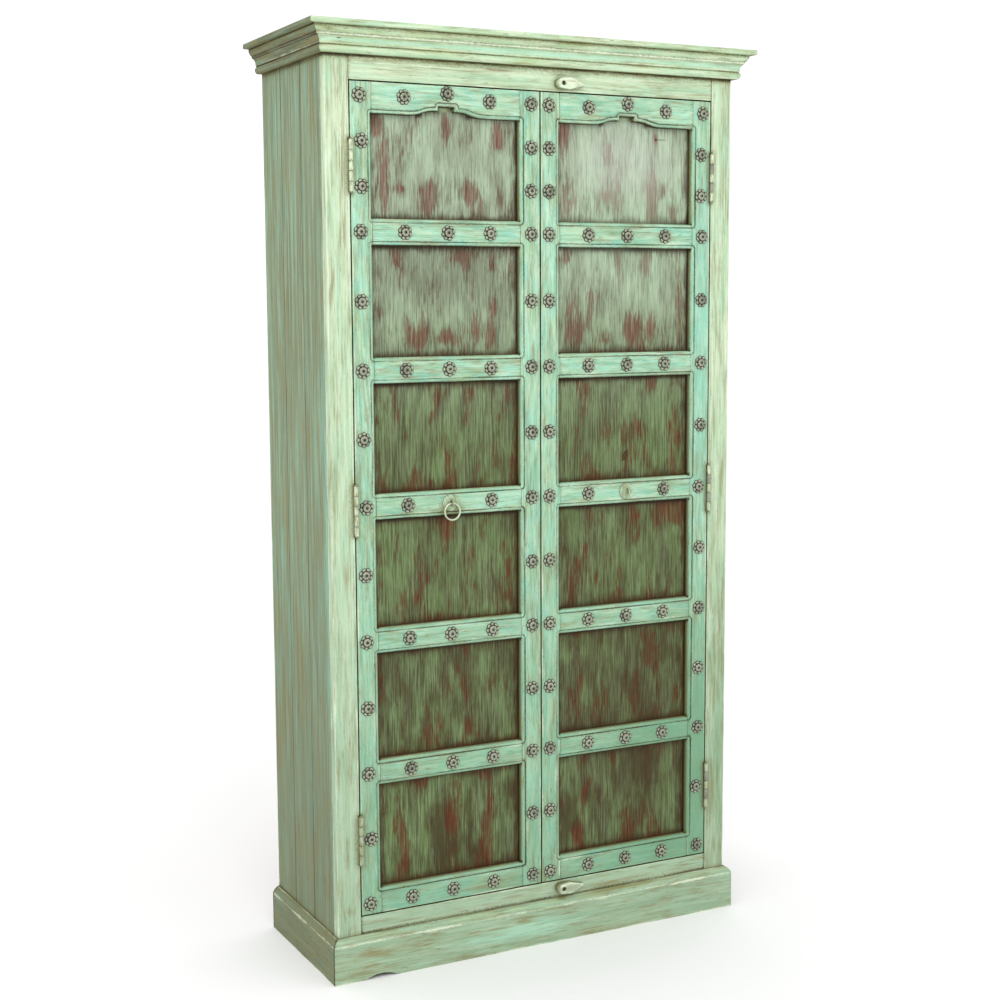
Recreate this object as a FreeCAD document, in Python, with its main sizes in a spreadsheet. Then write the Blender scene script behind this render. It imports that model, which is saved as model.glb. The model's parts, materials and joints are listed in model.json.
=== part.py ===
# Painted two-door cabinet: studded panel doors in a face frame, a stepped cornice and a plinth.
# Millimetres, +Z up, front towards -Y, origin on the floor at the middle of the overall box.
import FreeCAD, Part
import math
import os
import re
import Sketcher

from FreeCAD import Placement, Rotation, Vector

# Driving dimensions: alias, size, meaning.
DIMENSIONS = (
    ("overall_height", "1900", "floor to the top of the cornice"),
    ("body_width", "936", "outside width of the carcass"),
    ("body_depth", "351", "front of the face frame to the back"),
    ("side_thickness", "20", "side planks"),
    ("back_thickness", "12", "back boards"),
    ("top_thickness", "20", "top board"),
    ("floor_thickness", "20", "floor board"),
    ("shelf_thickness", "20", "shelves"),
    ("shelf_setback", "52", "front of the face frame to a shelf's front edge"),
    ("lower_shelf_height", "560", "floor to the lower shelf's top"),
    ("middle_shelf_height", "1000", "floor to the middle shelf's top"),
    ("upper_shelf_height", "1440", "floor to the upper shelf's top"),
    ("cleat_height", "25", "strip under a shelf end"),
    ("cleat_thickness", "20", "strip under a shelf end"),
    ("back_rise", "20", "floor to the bottom of the back boards"),
    ("frame_thickness", "22", "face frame"),
    ("frame_stile_width", "50", "upright of the face frame"),
    ("frame_top_rail_height", "87", "face frame's top rail, part of it behind the cornice"),
    ("frame_bottom_rail_height", "80", "face frame's bottom rail, part of it behind the plinth"),
    ("threshold_height", "129.5", "floor to the bottom of the doorway"),
    ("frame_tenon_length", "25", "tenon on a face frame rail"),
    ("frame_tenon_thickness", "8", "tenon on a face frame rail"),
    ("tenon_shoulder", "10", "rail edge to tenon edge"),
    ("plinth_height", "93", "floor to the plinth's top"),
    ("plinth_projection", "15", "plinth face beyond the carcass"),
    ("plinth_nose_height", "14", "height of the plinth's rounded top edge"),
    ("plinth_nose_depth", "13", "depth of the plinth's rounded top edge"),
    ("plinth_nose_radius", "24", "radius of the plinth's rounded top edge"),
    ("cornice_height", "60", "bottom to top of the cornice"),
    ("cornice_projection", "40", "cornice lip beyond the carcass"),
    ("cornice_lip", "11", "thickness of the lip"),
    ("cornice_nose", "3", "rounding of the lip's two edges"),
    ("cornice_ovolo", "28", "reach of the rounded moulding under the lip"),
    ("cornice_ovolo_height", "14", "height of the rounded moulding"),
    ("cornice_ovolo_radius", "15", "rounded moulding"),
    ("cornice_fillet", "21.5", "reach of the square band below the rounded moulding"),
    ("cornice_fillet_height", "4", "height of the square band"),
    ("cornice_cove_top", "19.5", "reach of the hollow at its top, under the square band"),
    ("cornice_cove_foot", "13.5", "reach of the hollow at its bottom"),
    ("cornice_cove_radius", "16", "hollow"),
    ("cornice_quirk", "11.5", "reach of the groove between the hollow and the bead"),
    ("cornice_quirk_height", "1.5", "height of the groove"),
    ("cornice_bead_height", "15", "height of the round bead at the bottom"),
    ("cornice_bead_foot", "10.5", "reach of the bead at its bottom"),
    ("cornice_bead_radius", "9", "round bead"),
    ("door_gap", "2", "gap between a door and the face frame"),
    ("meeting_gap", "2.5", "gap between the two doors"),
    ("door_thickness", "32", "door frame"),
    ("door_stile_width", "44.5", "upright of a door"),
    ("top_rail_height", "60", "door's top rail beside the arch"),
    ("middle_rail_height", "52", "door's middle rails"),
    ("bottom_rail_height", "51.5", "door's bottom rail"),
    ("top_panel_drop", "18.2", "plain panel's height less the top panel's, beside the arch"),
    ("lowest_panel_drop", "3", "plain panel's height less the lowest panel's"),
    ("tenon_length", "24", "tenon on a door rail"),
    ("tenon_thickness", "8", "tenon on a door rail"),
    ("tenon_setback", "9", "door face to tenon"),
    ("panel_recess", "18", "door face to panel face"),
    ("panel_thickness", "10", "door panel"),
    ("panel_tongue", "8", "panel edge inside its groove"),
    ("panel_play", "0.8", "room for the panel to swell"),
    ("quirk_depth", "1.5", "step at the outside of the routed moulding"),
    ("quirk_width", "1.5", "flat at the bottom of that step"),
    ("moulding_radius", "6.5", "quarter round of the routed moulding"),
    ("arch_reach", "81", "middle of the door to the foot of the arch's curve"),
    ("arch_shoulder", "25", "middle of the door to the head of the arch's curve"),
    ("arch_rise", "10", "height of the arch's curve"),
    ("notch_width", "35", "square notch in the middle of the arch"),
    ("notch_rise", "19", "foot of the arch to the top of the notch"),
    ("hinge_length", "100", "butt hinge"),
    ("leaf_thickness", "1.8", "hinge leaf"),
    ("leaf_reach", "20", "door face to the back edge of a hinge leaf"),
    ("leaf_start", "0.6", "door face to the front edge of a hinge leaf"),
    ("knuckle_radius", "4.5", "hinge knuckle"),
    ("knuckle_gap", "0.5", "between two knuckles"),
    ("pin_forward", "5.1", "hinge pin in front of the door face"),
    ("pin_radius", "2", "hinge pin"),
    ("pin_clearance", "0.05", "round the hinge pin"),
    ("pin_head_radius", "3.4", "button on each end of a hinge pin"),
    ("pin_head_height", "2", "button on each end of a hinge pin"),
    ("top_hinge_drop", "161", "door top to the middle of the top hinge"),
    ("middle_hinge_drop", "4.5", "middle of the handle rail to the middle of its hinge"),
    ("bottom_hinge_rise", "158", "door bottom to the middle of the bottom hinge"),
    ("screw_radius", "1.5", "hinge screw"),
    ("screw_length", "14", "hinge screw"),
    ("screw_head_radius", "3", "hinge screw"),
    ("screw_head_height", "1.2", "hinge screw"),
    ("screw_pitch", "34", "between two hinge screws"),
    ("stop_thickness", "18", "strip that the doors close against"),
    ("stop_cover", "12", "strip behind the edge of the doors"),
    ("stop_height", "44", "strip above the doors"),
    ("stop_clearance", "0.5", "between a closed door and the strip"),
    ("rosette_diameter", "32", "iron stud"),
    ("rosette_petal_radius", "5", "rounded petal of a stud"),
    ("rosette_plate", "2.6", "thickness of a stud's petals"),
    ("rosette_dome_radius", "9", "raised middle of a stud"),
    ("rosette_dome_height", "5.4", "door face to the top of the raised middle"),
    ("rosette_nail_radius", "2.4", "nail head"),
    ("rosette_nail_height", "6.2", "door face to the top of the nail head"),
    ("rosette_clearance", "3.5", "between a stud and a hinge knuckle"),
    ("rosette_inset", "19.5", "door edge to the outer studs"),
    ("rosette_raise", "11", "middle stud of the top rail above its neighbours"),
    ("plate_radius", "17.5", "round plate of a pull"),
    ("plate_rim", "2", "thickness of the plate's rim"),
    ("plate_dome", "5", "thickness at the plate's middle"),
    ("eye_wire_radius", "1.5", "eye that holds the ring"),
    ("eye_hole_radius", "2.8", "eye that holds the ring"),
    ("eye_sink", "1", "eye's centre line inside the plate"),
    ("ring_radius", "17", "centre line of the ring"),
    ("ring_wire_radius", "2", "wire of the ring"),
    ("ring_seat_gap", "0.3", "between the ring and the bottom of its eye"),
    ("button_offset", "46", "middle of the cabinet to a turn button's pivot"),
    ("upper_button_setback", "16", "doorway top to the upper turn button's pivot"),
    ("lower_button_setback", "15", "doorway bottom to the lower turn button's pivot"),
    ("button_head_radius", "10", "round head of a turn button"),
    ("button_head_offset", "3", "pivot back to the middle of the round head"),
    ("button_shoulder", "16", "pivot to the widest place"),
    ("button_half_width", "12", "half of the widest place"),
    ("button_tip", "53", "pivot to the tip"),
    ("button_tip_half_width", "1.6", "half of the blunt tip"),
    ("button_thickness", "18", "turn button"),
    ("button_tip_thickness", "9", "turn button at its tip"),
    ("button_slope_start", "24", "pivot to where the face slopes back"),
    ("button_gap", "0.4", "between a turn button and the face frame"),
    ("button_bore_depth", "7", "sunk seat of the pivot screw's head"),
    ("pivot_radius", "2.5", "pivot screw"),
    ("pivot_clearance", "0.05", "round the pivot screw"),
    ("pivot_head_radius", "4.2", "pivot screw's head"),
    ("pivot_head_height", "3", "pivot screw's head"),
    ("pivot_head_gap", "0.3", "under and round the pivot screw's head"),
    ("pivot_depth", "18", "pivot screw inside the face frame"),
)

# Counts of repeated pieces, and which knuckles of a hinge belong to which leaf.
PLANKS_PER_SIDE = 3
BACK_BOARDS = 5
PLAIN_PANELS = 5
STUDS_PER_RAIL = 5
PETALS = 8
KNUCKLES = 5
FRAME_KNUCKLES = (0, 2, 4)
DOOR_KNUCKLES = (1, 3)
HANDLE_RAIL = 3

# Sizes and places that follow from the driving dimensions.
DERIVED = (
    ("carcass_top", "overall_height - top_thickness"),
    ("half_body", "body_width / 2"),
    ("half_doorway", "half_body - frame_stile_width"),
    ("inside_half", "half_body - side_thickness"),
    ("front_face", "-(body_depth - cornice_projection) / 2"),
    ("back_face", "front_face + body_depth"),
    ("inside_back", "back_face - back_thickness"),
    ("frame_back", "front_face + frame_thickness"),
    ("doorway_top", "carcass_top - frame_top_rail_height"),
    ("cornice_bottom", "overall_height - cornice_height"),
    ("door_left", "-half_doorway + door_gap"),
    ("door_width", "half_doorway - door_gap - meeting_gap / 2"),
    ("door_middle", "door_left + door_width / 2"),
    ("door_bottom", "threshold_height + door_gap"),
    ("door_top", "doorway_top - door_gap"),
    ("panel_left", "door_left + door_stile_width"),
    ("panel_width", "door_width - 2 * door_stile_width"),
    ("panels_height", "door_top - door_bottom - top_rail_height - bottom_rail_height"
                      f" - {PLAIN_PANELS} * middle_rail_height"),
    ("panel_height", f"(panels_height + top_panel_drop + lowest_panel_drop) / {PLAIN_PANELS + 1}"),
    ("lowest_panel_height", "panel_height - lowest_panel_drop"),
    ("rail_pitch", "middle_rail_height + panel_height"),
    ("lowest_panel_bottom", "door_bottom + bottom_rail_height"),
    ("lowest_rail_bottom", "lowest_panel_bottom + lowest_panel_height"),
    ("moulding_width", "quirk_width + moulding_radius"),
    ("handle_rail_middle", f"lowest_rail_bottom + {HANDLE_RAIL - 1} * rail_pitch + middle_rail_height / 2"),
    ("hinge_line", "-half_doorway + door_gap / 2"),
    ("pin_line", "front_face - pin_forward"),
    ("knuckle_pitch", f"hinge_length / {KNUCKLES}"),
    ("stop_front", "front_face + door_thickness + stop_clearance"),
    ("eye_radius", "eye_hole_radius + eye_wire_radius"),
    ("eye_line", "front_face - plate_dome - eye_radius + eye_sink"),
    ("ring_line", "handle_rail_middle - eye_hole_radius + ring_wire_radius + ring_seat_gap"),
    ("button_back", "front_face - button_gap"),
    ("upper_button_line", "doorway_top + upper_button_setback"),
    ("lower_button_line", "threshold_height - lower_button_setback"),
    ("pivot_head_back", "button_back - button_thickness + button_bore_depth - pivot_head_gap"),
)

# Middle rails by their place above the bottom rail.
MIDDLE_RAIL_NAMES = {5: "rail_2", 4: "rail_3", 3: "handle_rail", 2: "rail_5", 1: "rail_6"}

HINGE_MIDDLES = (
    "door_top - top_hinge_drop",
    "handle_rail_middle - middle_hinge_drop",
    "door_bottom + bottom_hinge_rise",
)

# How far a cutting shape passes the face that it opens.
OVERCUT = 1.0

doc = FreeCAD.newDocument("painted_cabinet")
sheet = doc.addObject("Spreadsheet::Sheet", "sizes")
nodes = {}


def fill_sheet():
    """Write the driving dimensions as numbers and what follows from them as formulas."""
    rows = list(DIMENSIONS)
    rows += [(alias, "=" + formula, "follows") for alias, formula in DERIVED]
    for row, (alias, content, meaning) in enumerate(rows, start=1):
        sheet.set(f"A{row}", meaning)
        sheet.set(f"B{row}", content)
        sheet.setAlias(f"B{row}", alias)
    doc.recompute()


def value(alias):
    """Read one size from the sheet."""
    return float(sheet.get(alias))


def in_sheet(formula):
    """Point each size named in a formula at the sheet."""
    return re.sub(r"[a-z][a-z_]+", lambda word: "sizes." + word.group(), formula)


def bind(thing, path, formula):
    """Tie one property of an object to a formula of named sizes."""
    thing.setExpression(path, in_sheet(formula))


def number(formula):
    """Work out a formula of named sizes."""
    return float(sheet.evalExpression(in_sheet(formula)))


def place(thing, x, y, z):
    """Tie an object's position to three formulas."""
    for axis, formula in zip("xyz", (x, y, z)):
        bind(thing, "Placement.Base." + axis, formula)


def board(label, x, y, z):
    """A squared board; each axis is given as its start and its size."""
    box = doc.addObject("Part::Box", label)
    for side, (_, size) in zip(("Length", "Width", "Height"), (x, y, z)):
        bind(box, side, size)
    place(box, x[0], y[0], z[0])
    return box


def rod(label, radius, length, x, y, z, turn=None):
    """A round bar along Z, or along the axis that turn brings Z to."""
    bar = doc.addObject("Part::Cylinder", label)
    bind(bar, "Radius", radius)
    bind(bar, "Height", length)
    if turn:
        bar.Placement = Placement(Vector(), turn)
    place(bar, x, y, z)
    return bar


ALONG_X = Rotation(Vector(0, 1, 0), 90)
TO_THE_FRONT = Rotation(Vector(1, 0, 0), 90)


def join(label, *pieces):
    """Pieces grown together into one solid."""
    fuse = doc.addObject("Part::MultiFuse", label)
    fuse.Shapes = list(pieces)
    fuse.Refine = True
    return fuse


def group(label, pieces):
    """Separate solids kept under one name."""
    compound = doc.addObject("Part::Compound", label)
    compound.Links = list(pieces)
    return compound


def carve(label, base, *tools):
    """Cut the tools out of a base, one after another."""
    for count, tool in enumerate(tools, start=1):
        name = label if count == len(tools) else f"{label}_step_{count}"
        cut = doc.addObject("Part::Cut", name)
        cut.Base = base
        cut.Tool = tool
        cut.Refine = True
        base = cut
    return base


def mirror(label, source):
    """The other hand of a piece."""
    other = doc.addObject("Part::Mirroring", label)
    other.Source = source
    other.Base = Vector(0, 0, 0)
    other.Normal = Vector(1, 0, 0)
    return other


def keep(thing):
    """Hand a finished piece in under its label."""
    nodes[thing.Label] = thing
    return thing


def keep_pair(left):
    """Hand in a left piece and its mirror image."""
    keep(left)
    keep(mirror(left.Label.replace("left_", "right_", 1), left))


def origin_plane(body, role):
    """One of a body's own base planes."""
    return next(plane for plane in body.Origin.OriginFeatures if plane.Role == role)


def outline(body, name, role, corners, arcs=None):
    """A closed sketch through corners given as formulas; arcs gives an edge's radius and its side.

    A side of 1 puts the arc's centre to the left of the edge, and -1 to its right.
    """
    sketch = body.newObject("Sketcher::SketchObject", name)
    sketch.AttachmentSupport = [(origin_plane(body, role), "")]
    sketch.MapMode = "FlatFace"
    points = [Vector(number(x), number(y), 0) for x, y in corners]
    starts = []
    ends = []
    for edge, start in enumerate(points):
        end = points[(edge + 1) % len(points)]
        if arcs and edge in arcs:
            radius, side = number(arcs[edge][0]), arcs[edge][1]
            chord = end - start
            across = Vector(-chord.y, chord.x, 0).normalize()
            depth = math.sqrt(max(radius ** 2 - (chord.Length / 2) ** 2, 0))
            centre = start + chord * 0.5 + across * (side * depth)
            circle = Part.Circle(centre, Vector(0, 0, 1), radius)
            first, last = (start, end) if side > 0 else (end, start)
            curve = Part.ArcOfCircle(circle, circle.parameter(first), circle.parameter(last))
            sketch.addGeometry(curve)
            starts.append(1 if side > 0 else 2)
            ends.append(2 if side > 0 else 1)
            row = sketch.addConstraint(Sketcher.Constraint("Radius", edge, radius))
            bind(sketch, f"Constraints[{row}]", arcs[edge][0])
        else:
            sketch.addGeometry(Part.LineSegment(start, end))
            starts.append(1)
            ends.append(2)
    for edge, (x, y) in enumerate(corners):
        after = (edge + 1) % len(corners)
        sketch.addConstraint(Sketcher.Constraint("Coincident", edge, ends[edge], after, starts[after]))
        for kind, formula in (("DistanceX", x), ("DistanceY", y)):
            rule = Sketcher.Constraint(kind, -1, 1, edge, starts[edge], number(formula))
            row = sketch.addConstraint(rule)
            bind(sketch, f"Constraints[{row}]", formula)
    return sketch


def circle_sketch(body, name, radius, rise="0"):
    """A sketched circle about the body's own Z axis, at a height above its base plane."""
    sketch = body.newObject("Sketcher::SketchObject", name)
    sketch.AttachmentSupport = [(origin_plane(body, "XY_Plane"), "")]
    sketch.MapMode = "FlatFace"
    bind(sketch, "AttachmentOffset.Base.z", rise)
    sketch.addGeometry(Part.Circle(Vector(), Vector(0, 0, 1), number(radius)))
    sketch.addConstraint(Sketcher.Constraint("Coincident", 0, 3, -1, 1))
    row = sketch.addConstraint(Sketcher.Constraint("Radius", 0, number(radius)))
    bind(sketch, f"Constraints[{row}]", radius)
    return sketch


def pad(body, name, sketch, length):
    """Raise a sketch into a solid."""
    feature = body.newObject("PartDesign::Pad", name)
    feature.Profile = sketch
    bind(feature, "Length", length)
    return feature


def pocket_through(body, name, sketch):
    """Cut a sketch right through, both ways."""
    feature = body.newObject("PartDesign::Pocket", name)
    feature.Profile = sketch
    feature.Type = "ThroughAll"
    feature.Midplane = True
    return feature


def orient(body, along_x, along_y, along_z):
    """Turn a body so that its own axes point along three given directions."""
    matrix = FreeCAD.Matrix()
    matrix.A11, matrix.A21, matrix.A31 = along_x
    matrix.A12, matrix.A22, matrix.A32 = along_y
    matrix.A13, matrix.A23, matrix.A33 = along_z
    body.Placement = Placement(Vector(), Rotation(matrix))


# Face frame and carcass.

def span(half):
    """Start and size of a piece that runs from one side to the other."""
    return (f"-{half}", f"2 * {half}")


def make_face_frame(hinge_seats):
    """Two uprights and two rails, tenoned together, with seats for the hinges."""
    depth = ("front_face", "frame_thickness")
    rails = (
        ("frame_top_rail", "doorway_top", "frame_top_rail_height", "upper_button_line"),
        ("frame_bottom_rail", "threshold_height - frame_bottom_rail_height", "frame_bottom_rail_height",
         "lower_button_line"),
    )
    tenons = []
    for label, bottom, height, pivot in rails:
        blank = board(label + "_blank", span("half_doorway"), depth, (bottom, height))
        tenon = board(
            label + "_tenons",
            ("-half_doorway - frame_tenon_length", "2 * (half_doorway + frame_tenon_length)"),
            ("front_face + (frame_thickness - frame_tenon_thickness) / 2", "frame_tenon_thickness"),
            (f"{bottom} + tenon_shoulder", f"{height} - 2 * tenon_shoulder"),
        )
        hole = rod(label + "_pivot_hole", "pivot_radius", "pivot_depth",
                   "button_offset", "front_face + pivot_depth", pivot, TO_THE_FRONT)
        tenons.append(tenon)
        keep(carve(label, join(label + "_tenoned", blank, tenon), hole))
    upright = board("left_frame_stile_blank", ("-half_body", "frame_stile_width"), depth,
                    ("0", "carcass_top"))
    keep_pair(carve("left_frame_stile", upright, group("frame_mortises", tenons), *hinge_seats))


def make_carcass():
    """Plank sides, boarded back, top, floor, shelves with their cleats, and the door stops."""
    plank = f"(body_depth - frame_thickness) / {PLANKS_PER_SIDE}"
    planks = [
        board(f"left_side_plank_{place_in}", ("-half_body", "side_thickness"),
              (f"frame_back + {place_in} * {plank}", plank), ("0", "carcass_top"))
        for place_in in range(PLANKS_PER_SIDE)
    ]
    keep_pair(group("left_side_planks", planks))

    width = f"2 * inside_half / {BACK_BOARDS}"
    backs = [
        board(f"back_board_{place_in}", (f"-inside_half + {place_in} * {width}", width),
              ("inside_back", "back_thickness"), ("back_rise", "carcass_top - back_rise"))
        for place_in in range(BACK_BOARDS)
    ]
    keep(group("back_boards", backs))

    keep(board("top_board", span("half_body"), ("front_face", "body_depth"),
               ("carcass_top", "top_thickness")))
    keep(board("floor_board", span("inside_half"), ("frame_back", "inside_back - frame_back"),
               ("threshold_height - floor_thickness", "floor_thickness")))

    seats = ["threshold_height - floor_thickness"]
    for level in ("lower", "middle", "upper"):
        underside = f"{level}_shelf_height - shelf_thickness"
        seats.append(underside)
        keep(board(f"{level}_shelf", span("inside_half"),
                   ("front_face + shelf_setback", "inside_back - front_face - shelf_setback"),
                   (underside, "shelf_thickness")))
    cleats = [
        board(f"left_cleat_{place_in}", ("-inside_half", "cleat_thickness"),
              ("front_face + shelf_setback", "inside_back - front_face - shelf_setback"),
              (f"{seat} - cleat_height", "cleat_height"))
        for place_in, seat in enumerate(seats)
    ]
    keep_pair(group("left_shelf_cleats", cleats))

    stop = ("stop_front", "stop_thickness")
    keep(board("top_door_stop", span("inside_half"), stop, ("door_top - stop_cover", "stop_height")))
    keep(board("bottom_door_stop", span("inside_half"), stop,
               ("threshold_height", "door_gap + stop_cover")))


# Mouldings mitred round the front corners.

def mitred_set(name, corners, arcs, reach, bottom):
    """A front length and two side returns of one moulding, mitred at the front corners.

    In each body X is the reach beyond the carcass, Y the height and Z the length.
    """
    front = doc.addObject("PartDesign::Body", f"{name}_front")
    length = f"body_width + 2 * {reach}"
    profile = outline(front, f"{name}_front_profile", "XY_Plane", corners, arcs)
    pad(front, f"{name}_front_length", profile, length)
    for end, tip, square in (("left", f"{length}", f"{length} - {reach}"), ("right", "0", reach)):
        wedge = [("0", tip), (reach, tip), ("0", square)]
        cut = outline(front, f"{name}_front_mitre_{end}", "XZ_Plane", wedge)
        pocket_through(front, f"{name}_front_mitre_{end}_cut", cut)
    orient(front, (0, -1, 0), (0, 0, 1), (-1, 0, 0))
    place(front, f"half_body + {reach}", "front_face", bottom)
    keep(front)

    side = doc.addObject("PartDesign::Body", f"left_{name}")
    profile = outline(side, f"left_{name}_profile", "XY_Plane", corners, arcs)
    pad(side, f"left_{name}_length", profile, f"body_depth + {reach}")
    wedge = outline(side, f"left_{name}_mitre", "XZ_Plane", [("0", "0"), (reach, "0"), ("0", reach)])
    pocket_through(side, f"left_{name}_mitre_cut", wedge)
    orient(side, (-1, 0, 0), (0, 0, 1), (0, 1, 0))
    place(side, "-half_body", f"front_face - {reach}", bottom)
    keep_pair(side)


def make_plinth():
    """Skirting with a rounded top edge."""
    corners = [
        ("0", "0"),
        ("plinth_projection", "0"),
        ("plinth_projection", "plinth_height - plinth_nose_height"),
        ("plinth_projection - plinth_nose_depth", "plinth_height"),
        ("0", "plinth_height"),
    ]
    mitred_set("plinth", corners, {2: ("plinth_nose_radius", 1)}, "plinth_projection", "0")


def make_cornice():
    """Crown moulding, from the bottom up: bead, groove, hollow, square band, rounded moulding, lip."""
    lip_bottom = "cornice_height - cornice_lip"
    band_top = f"{lip_bottom} - cornice_ovolo_height"
    band_bottom = f"{band_top} - cornice_fillet_height"
    corners = [
        ("0", "0"),
        ("cornice_bead_foot", "0"),
        ("cornice_quirk", "cornice_bead_height"),
        ("cornice_cove_foot", "cornice_bead_height + cornice_quirk_height"),
        ("cornice_cove_top", band_bottom),
        ("cornice_fillet", band_bottom),
        ("cornice_fillet", band_top),
        ("cornice_ovolo", lip_bottom),
        ("cornice_projection - cornice_nose", lip_bottom),
        ("cornice_projection", f"{lip_bottom} + cornice_nose"),
        ("cornice_projection", "cornice_height - cornice_nose"),
        ("cornice_projection - cornice_nose", "cornice_height"),
        ("0", "cornice_height"),
    ]
    arcs = {
        1: ("cornice_bead_radius", 1),
        3: ("cornice_cove_radius", -1),
        6: ("cornice_ovolo_radius", 1),
        8: ("cornice_nose", 1),
        10: ("cornice_nose", 1),
    }
    mitred_set("cornice", corners, arcs, "cornice_projection", "cornice_bottom")


# Doors: the left one is built and the right one mirrors it.

def rail_bottom(place_up):
    """Lower edge of a middle rail, counted up from the lowest as 1."""
    return f"lowest_rail_bottom + {place_up - 1} * rail_pitch"


def panel_opening(place_up):
    """Bottom and height of a panel's opening, counted up from the lowest."""
    if place_up == 0:
        return "lowest_panel_bottom", "lowest_panel_height"
    bottom = f"{rail_bottom(place_up)} + middle_rail_height"
    if place_up < PLAIN_PANELS:
        return bottom, "panel_height"
    return bottom, f"door_top - top_rail_height - ({bottom})"


def moulding_section(at, outward, reach_in):
    """Face removed by the router, square to an edge of the opening, at one place along it."""
    front = value("front_face")
    quirk = value("quirk_depth")
    radius = value("moulding_radius")
    width = value("moulding_width")

    def spot(distance, depth):
        return Vector(at.x + outward.x * distance, front + depth, at.z + outward.z * distance)

    diagonal = radius * (1 - math.sqrt(0.5))
    bend = Part.Arc(spot(radius, quirk), spot(diagonal, quirk + diagonal), spot(0, quirk + radius)).toShape()
    corners = [spot(0, quirk + radius), spot(-reach_in, quirk + radius), spot(-reach_in, -OVERCUT),
               spot(width, -OVERCUT), spot(width, quirk), spot(radius, quirk)]
    if reach_in == 0:
        del corners[1]
    edges = [Part.makeLine(a, b) for a, b in zip(corners, corners[1:])]
    return Part.Face(Part.Wire(edges + [bend]))


def turned(direction, angle):
    """A direction in the door's plane turned anticlockwise, seen from the front."""
    cosine, sine = math.cos(angle), math.sin(angle)
    return Vector(direction.x * cosine - direction.z * sine, 0, direction.x * sine + direction.z * cosine)


def routed_path(path):
    """Solid that a router leaves when it follows a path round an opening, anticlockwise.

    A step of the path is ("line", end) or ("arc", centre, angle), where a positive angle turns left.
    """
    reach_in = value("moulding_radius") / 2
    upright = Vector(0, -1, 0)
    at = path[0]
    cuts = []
    last_heading = None
    for step in path[1:]:
        if step[0] == "line":
            run = step[1] - at
            heading = Vector(run).normalize()
        else:
            _, centre, angle = step
            heading = turned((at - centre).normalize(), math.copysign(math.pi / 2, angle))
        if last_heading and last_heading.cross(heading).dot(upright) > 1e-6:
            corner = moulding_section(at, turned(last_heading, -math.pi / 2), 0)
            bend = math.degrees(last_heading.getAngle(heading))
            cuts.append(corner.revolve(at, upright, bend))
        section = moulding_section(at, turned(heading, -math.pi / 2), reach_in)
        if step[0] == "line":
            cuts.append(section.extrude(run))
            at = step[1]
            last_heading = heading
        else:
            cuts.append(section.revolve(centre, upright, math.degrees(angle)))
            at = centre + turned(at - centre, angle)
            last_heading = turned(heading, angle)
    return cuts[0].multiFuse(cuts[1:]).removeSplitter()


def arch_steps():
    """Path along the head of the top opening, from right to left: curve, notch, curve."""
    middle = value("door_middle")
    foot = number("door_top - top_rail_height")
    rise = value("arch_rise")
    half_run = number("(arch_reach - arch_shoulder) / 2")
    radius = (half_run ** 2 + (rise / 2) ** 2) / rise
    sweep = 2 * math.atan(rise / 2 / half_run)
    half_notch = value("notch_width") / 2
    head = foot + rise
    notch_top = foot + value("notch_rise")

    def spot(x, z):
        return Vector(middle + x, 0, z)

    reach, shoulder = value("arch_reach"), value("arch_shoulder")
    return [
        ("line", spot(reach, foot)),
        ("arc", spot(reach, foot + radius), -sweep),
        ("arc", spot(shoulder, head - radius), sweep),
        ("line", spot(half_notch, head)),
        ("line", spot(half_notch, notch_top)),
        ("line", spot(-half_notch, notch_top)),
        ("line", spot(-half_notch, head)),
        ("line", spot(-shoulder, head)),
        ("arc", spot(-shoulder, head - radius), sweep),
        ("arc", spot(-reach, foot + radius), -sweep),
    ]


def opening_corners(place_up):
    """Corners of an opening: bottom left, bottom right, top right, top left."""
    bottom_formula, height_formula = panel_opening(place_up)
    left, bottom = value("panel_left"), number(bottom_formula)
    right, top = left + value("panel_width"), bottom + number(height_formula)
    return [Vector(left, 0, bottom), Vector(right, 0, bottom), Vector(right, 0, top), Vector(left, 0, top)]


def routed_moulding(place_up):
    """The moulding's waste round one opening, as a cutting shape."""
    corners = opening_corners(place_up)
    head = arch_steps() if place_up == PLAIN_PANELS else []
    steps = [("line", corners[1]), ("line", corners[2])] + head + [("line", corners[3]), ("line", corners[0])]
    middle_of_bottom = (corners[0] + corners[1]) * 0.5
    cutter = doc.addObject("Part::Feature", f"left_door_routing_{place_up}")
    cutter.Shape = routed_path([middle_of_bottom] + steps + [("line", middle_of_bottom)])
    return cutter


def arch_opening():
    """The arch and its notch, cut right through the top rail."""
    foot = number("door_top - top_rail_height")
    steps = arch_steps()
    at = steps[0][1]
    edges = []
    for step in steps[1:]:
        if step[0] == "line":
            end = step[1]
            edges.append(Part.makeLine(at, end))
        else:
            _, centre, angle = step
            end = centre + turned(at - centre, angle)
            half_way = centre + turned(at - centre, angle / 2)
            edges.append(Part.Arc(at, half_way, end).toShape())
        at = end
    start = steps[0][1]
    lower_left = Vector(at.x, 0, foot - OVERCUT)
    lower_right = Vector(start.x, 0, foot - OVERCUT)
    edges += [Part.makeLine(at, lower_left), Part.makeLine(lower_left, lower_right),
              Part.makeLine(lower_right, start)]
    face = Part.Face(Part.Wire(edges))
    face.translate(Vector(0, value("front_face") - OVERCUT, 0))
    cutter = doc.addObject("Part::Feature", "left_door_arch")
    cutter.Shape = face.extrude(Vector(0, value("door_thickness") + 2 * OVERCUT, 0))
    return cutter


def panel_board(label, place_up, margin):
    """A panel that fills its opening and passes the edges by a margin."""
    bottom, height = panel_opening(place_up)
    above = " + notch_rise" if place_up == PLAIN_PANELS else ""
    return board(
        label,
        (f"panel_left - ({margin})", f"panel_width + 2 * ({margin})"),
        ("front_face + panel_recess", "panel_thickness"),
        (f"{bottom} - ({margin})", f"{height} + 2 * ({margin}){above}"),
    )


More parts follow.
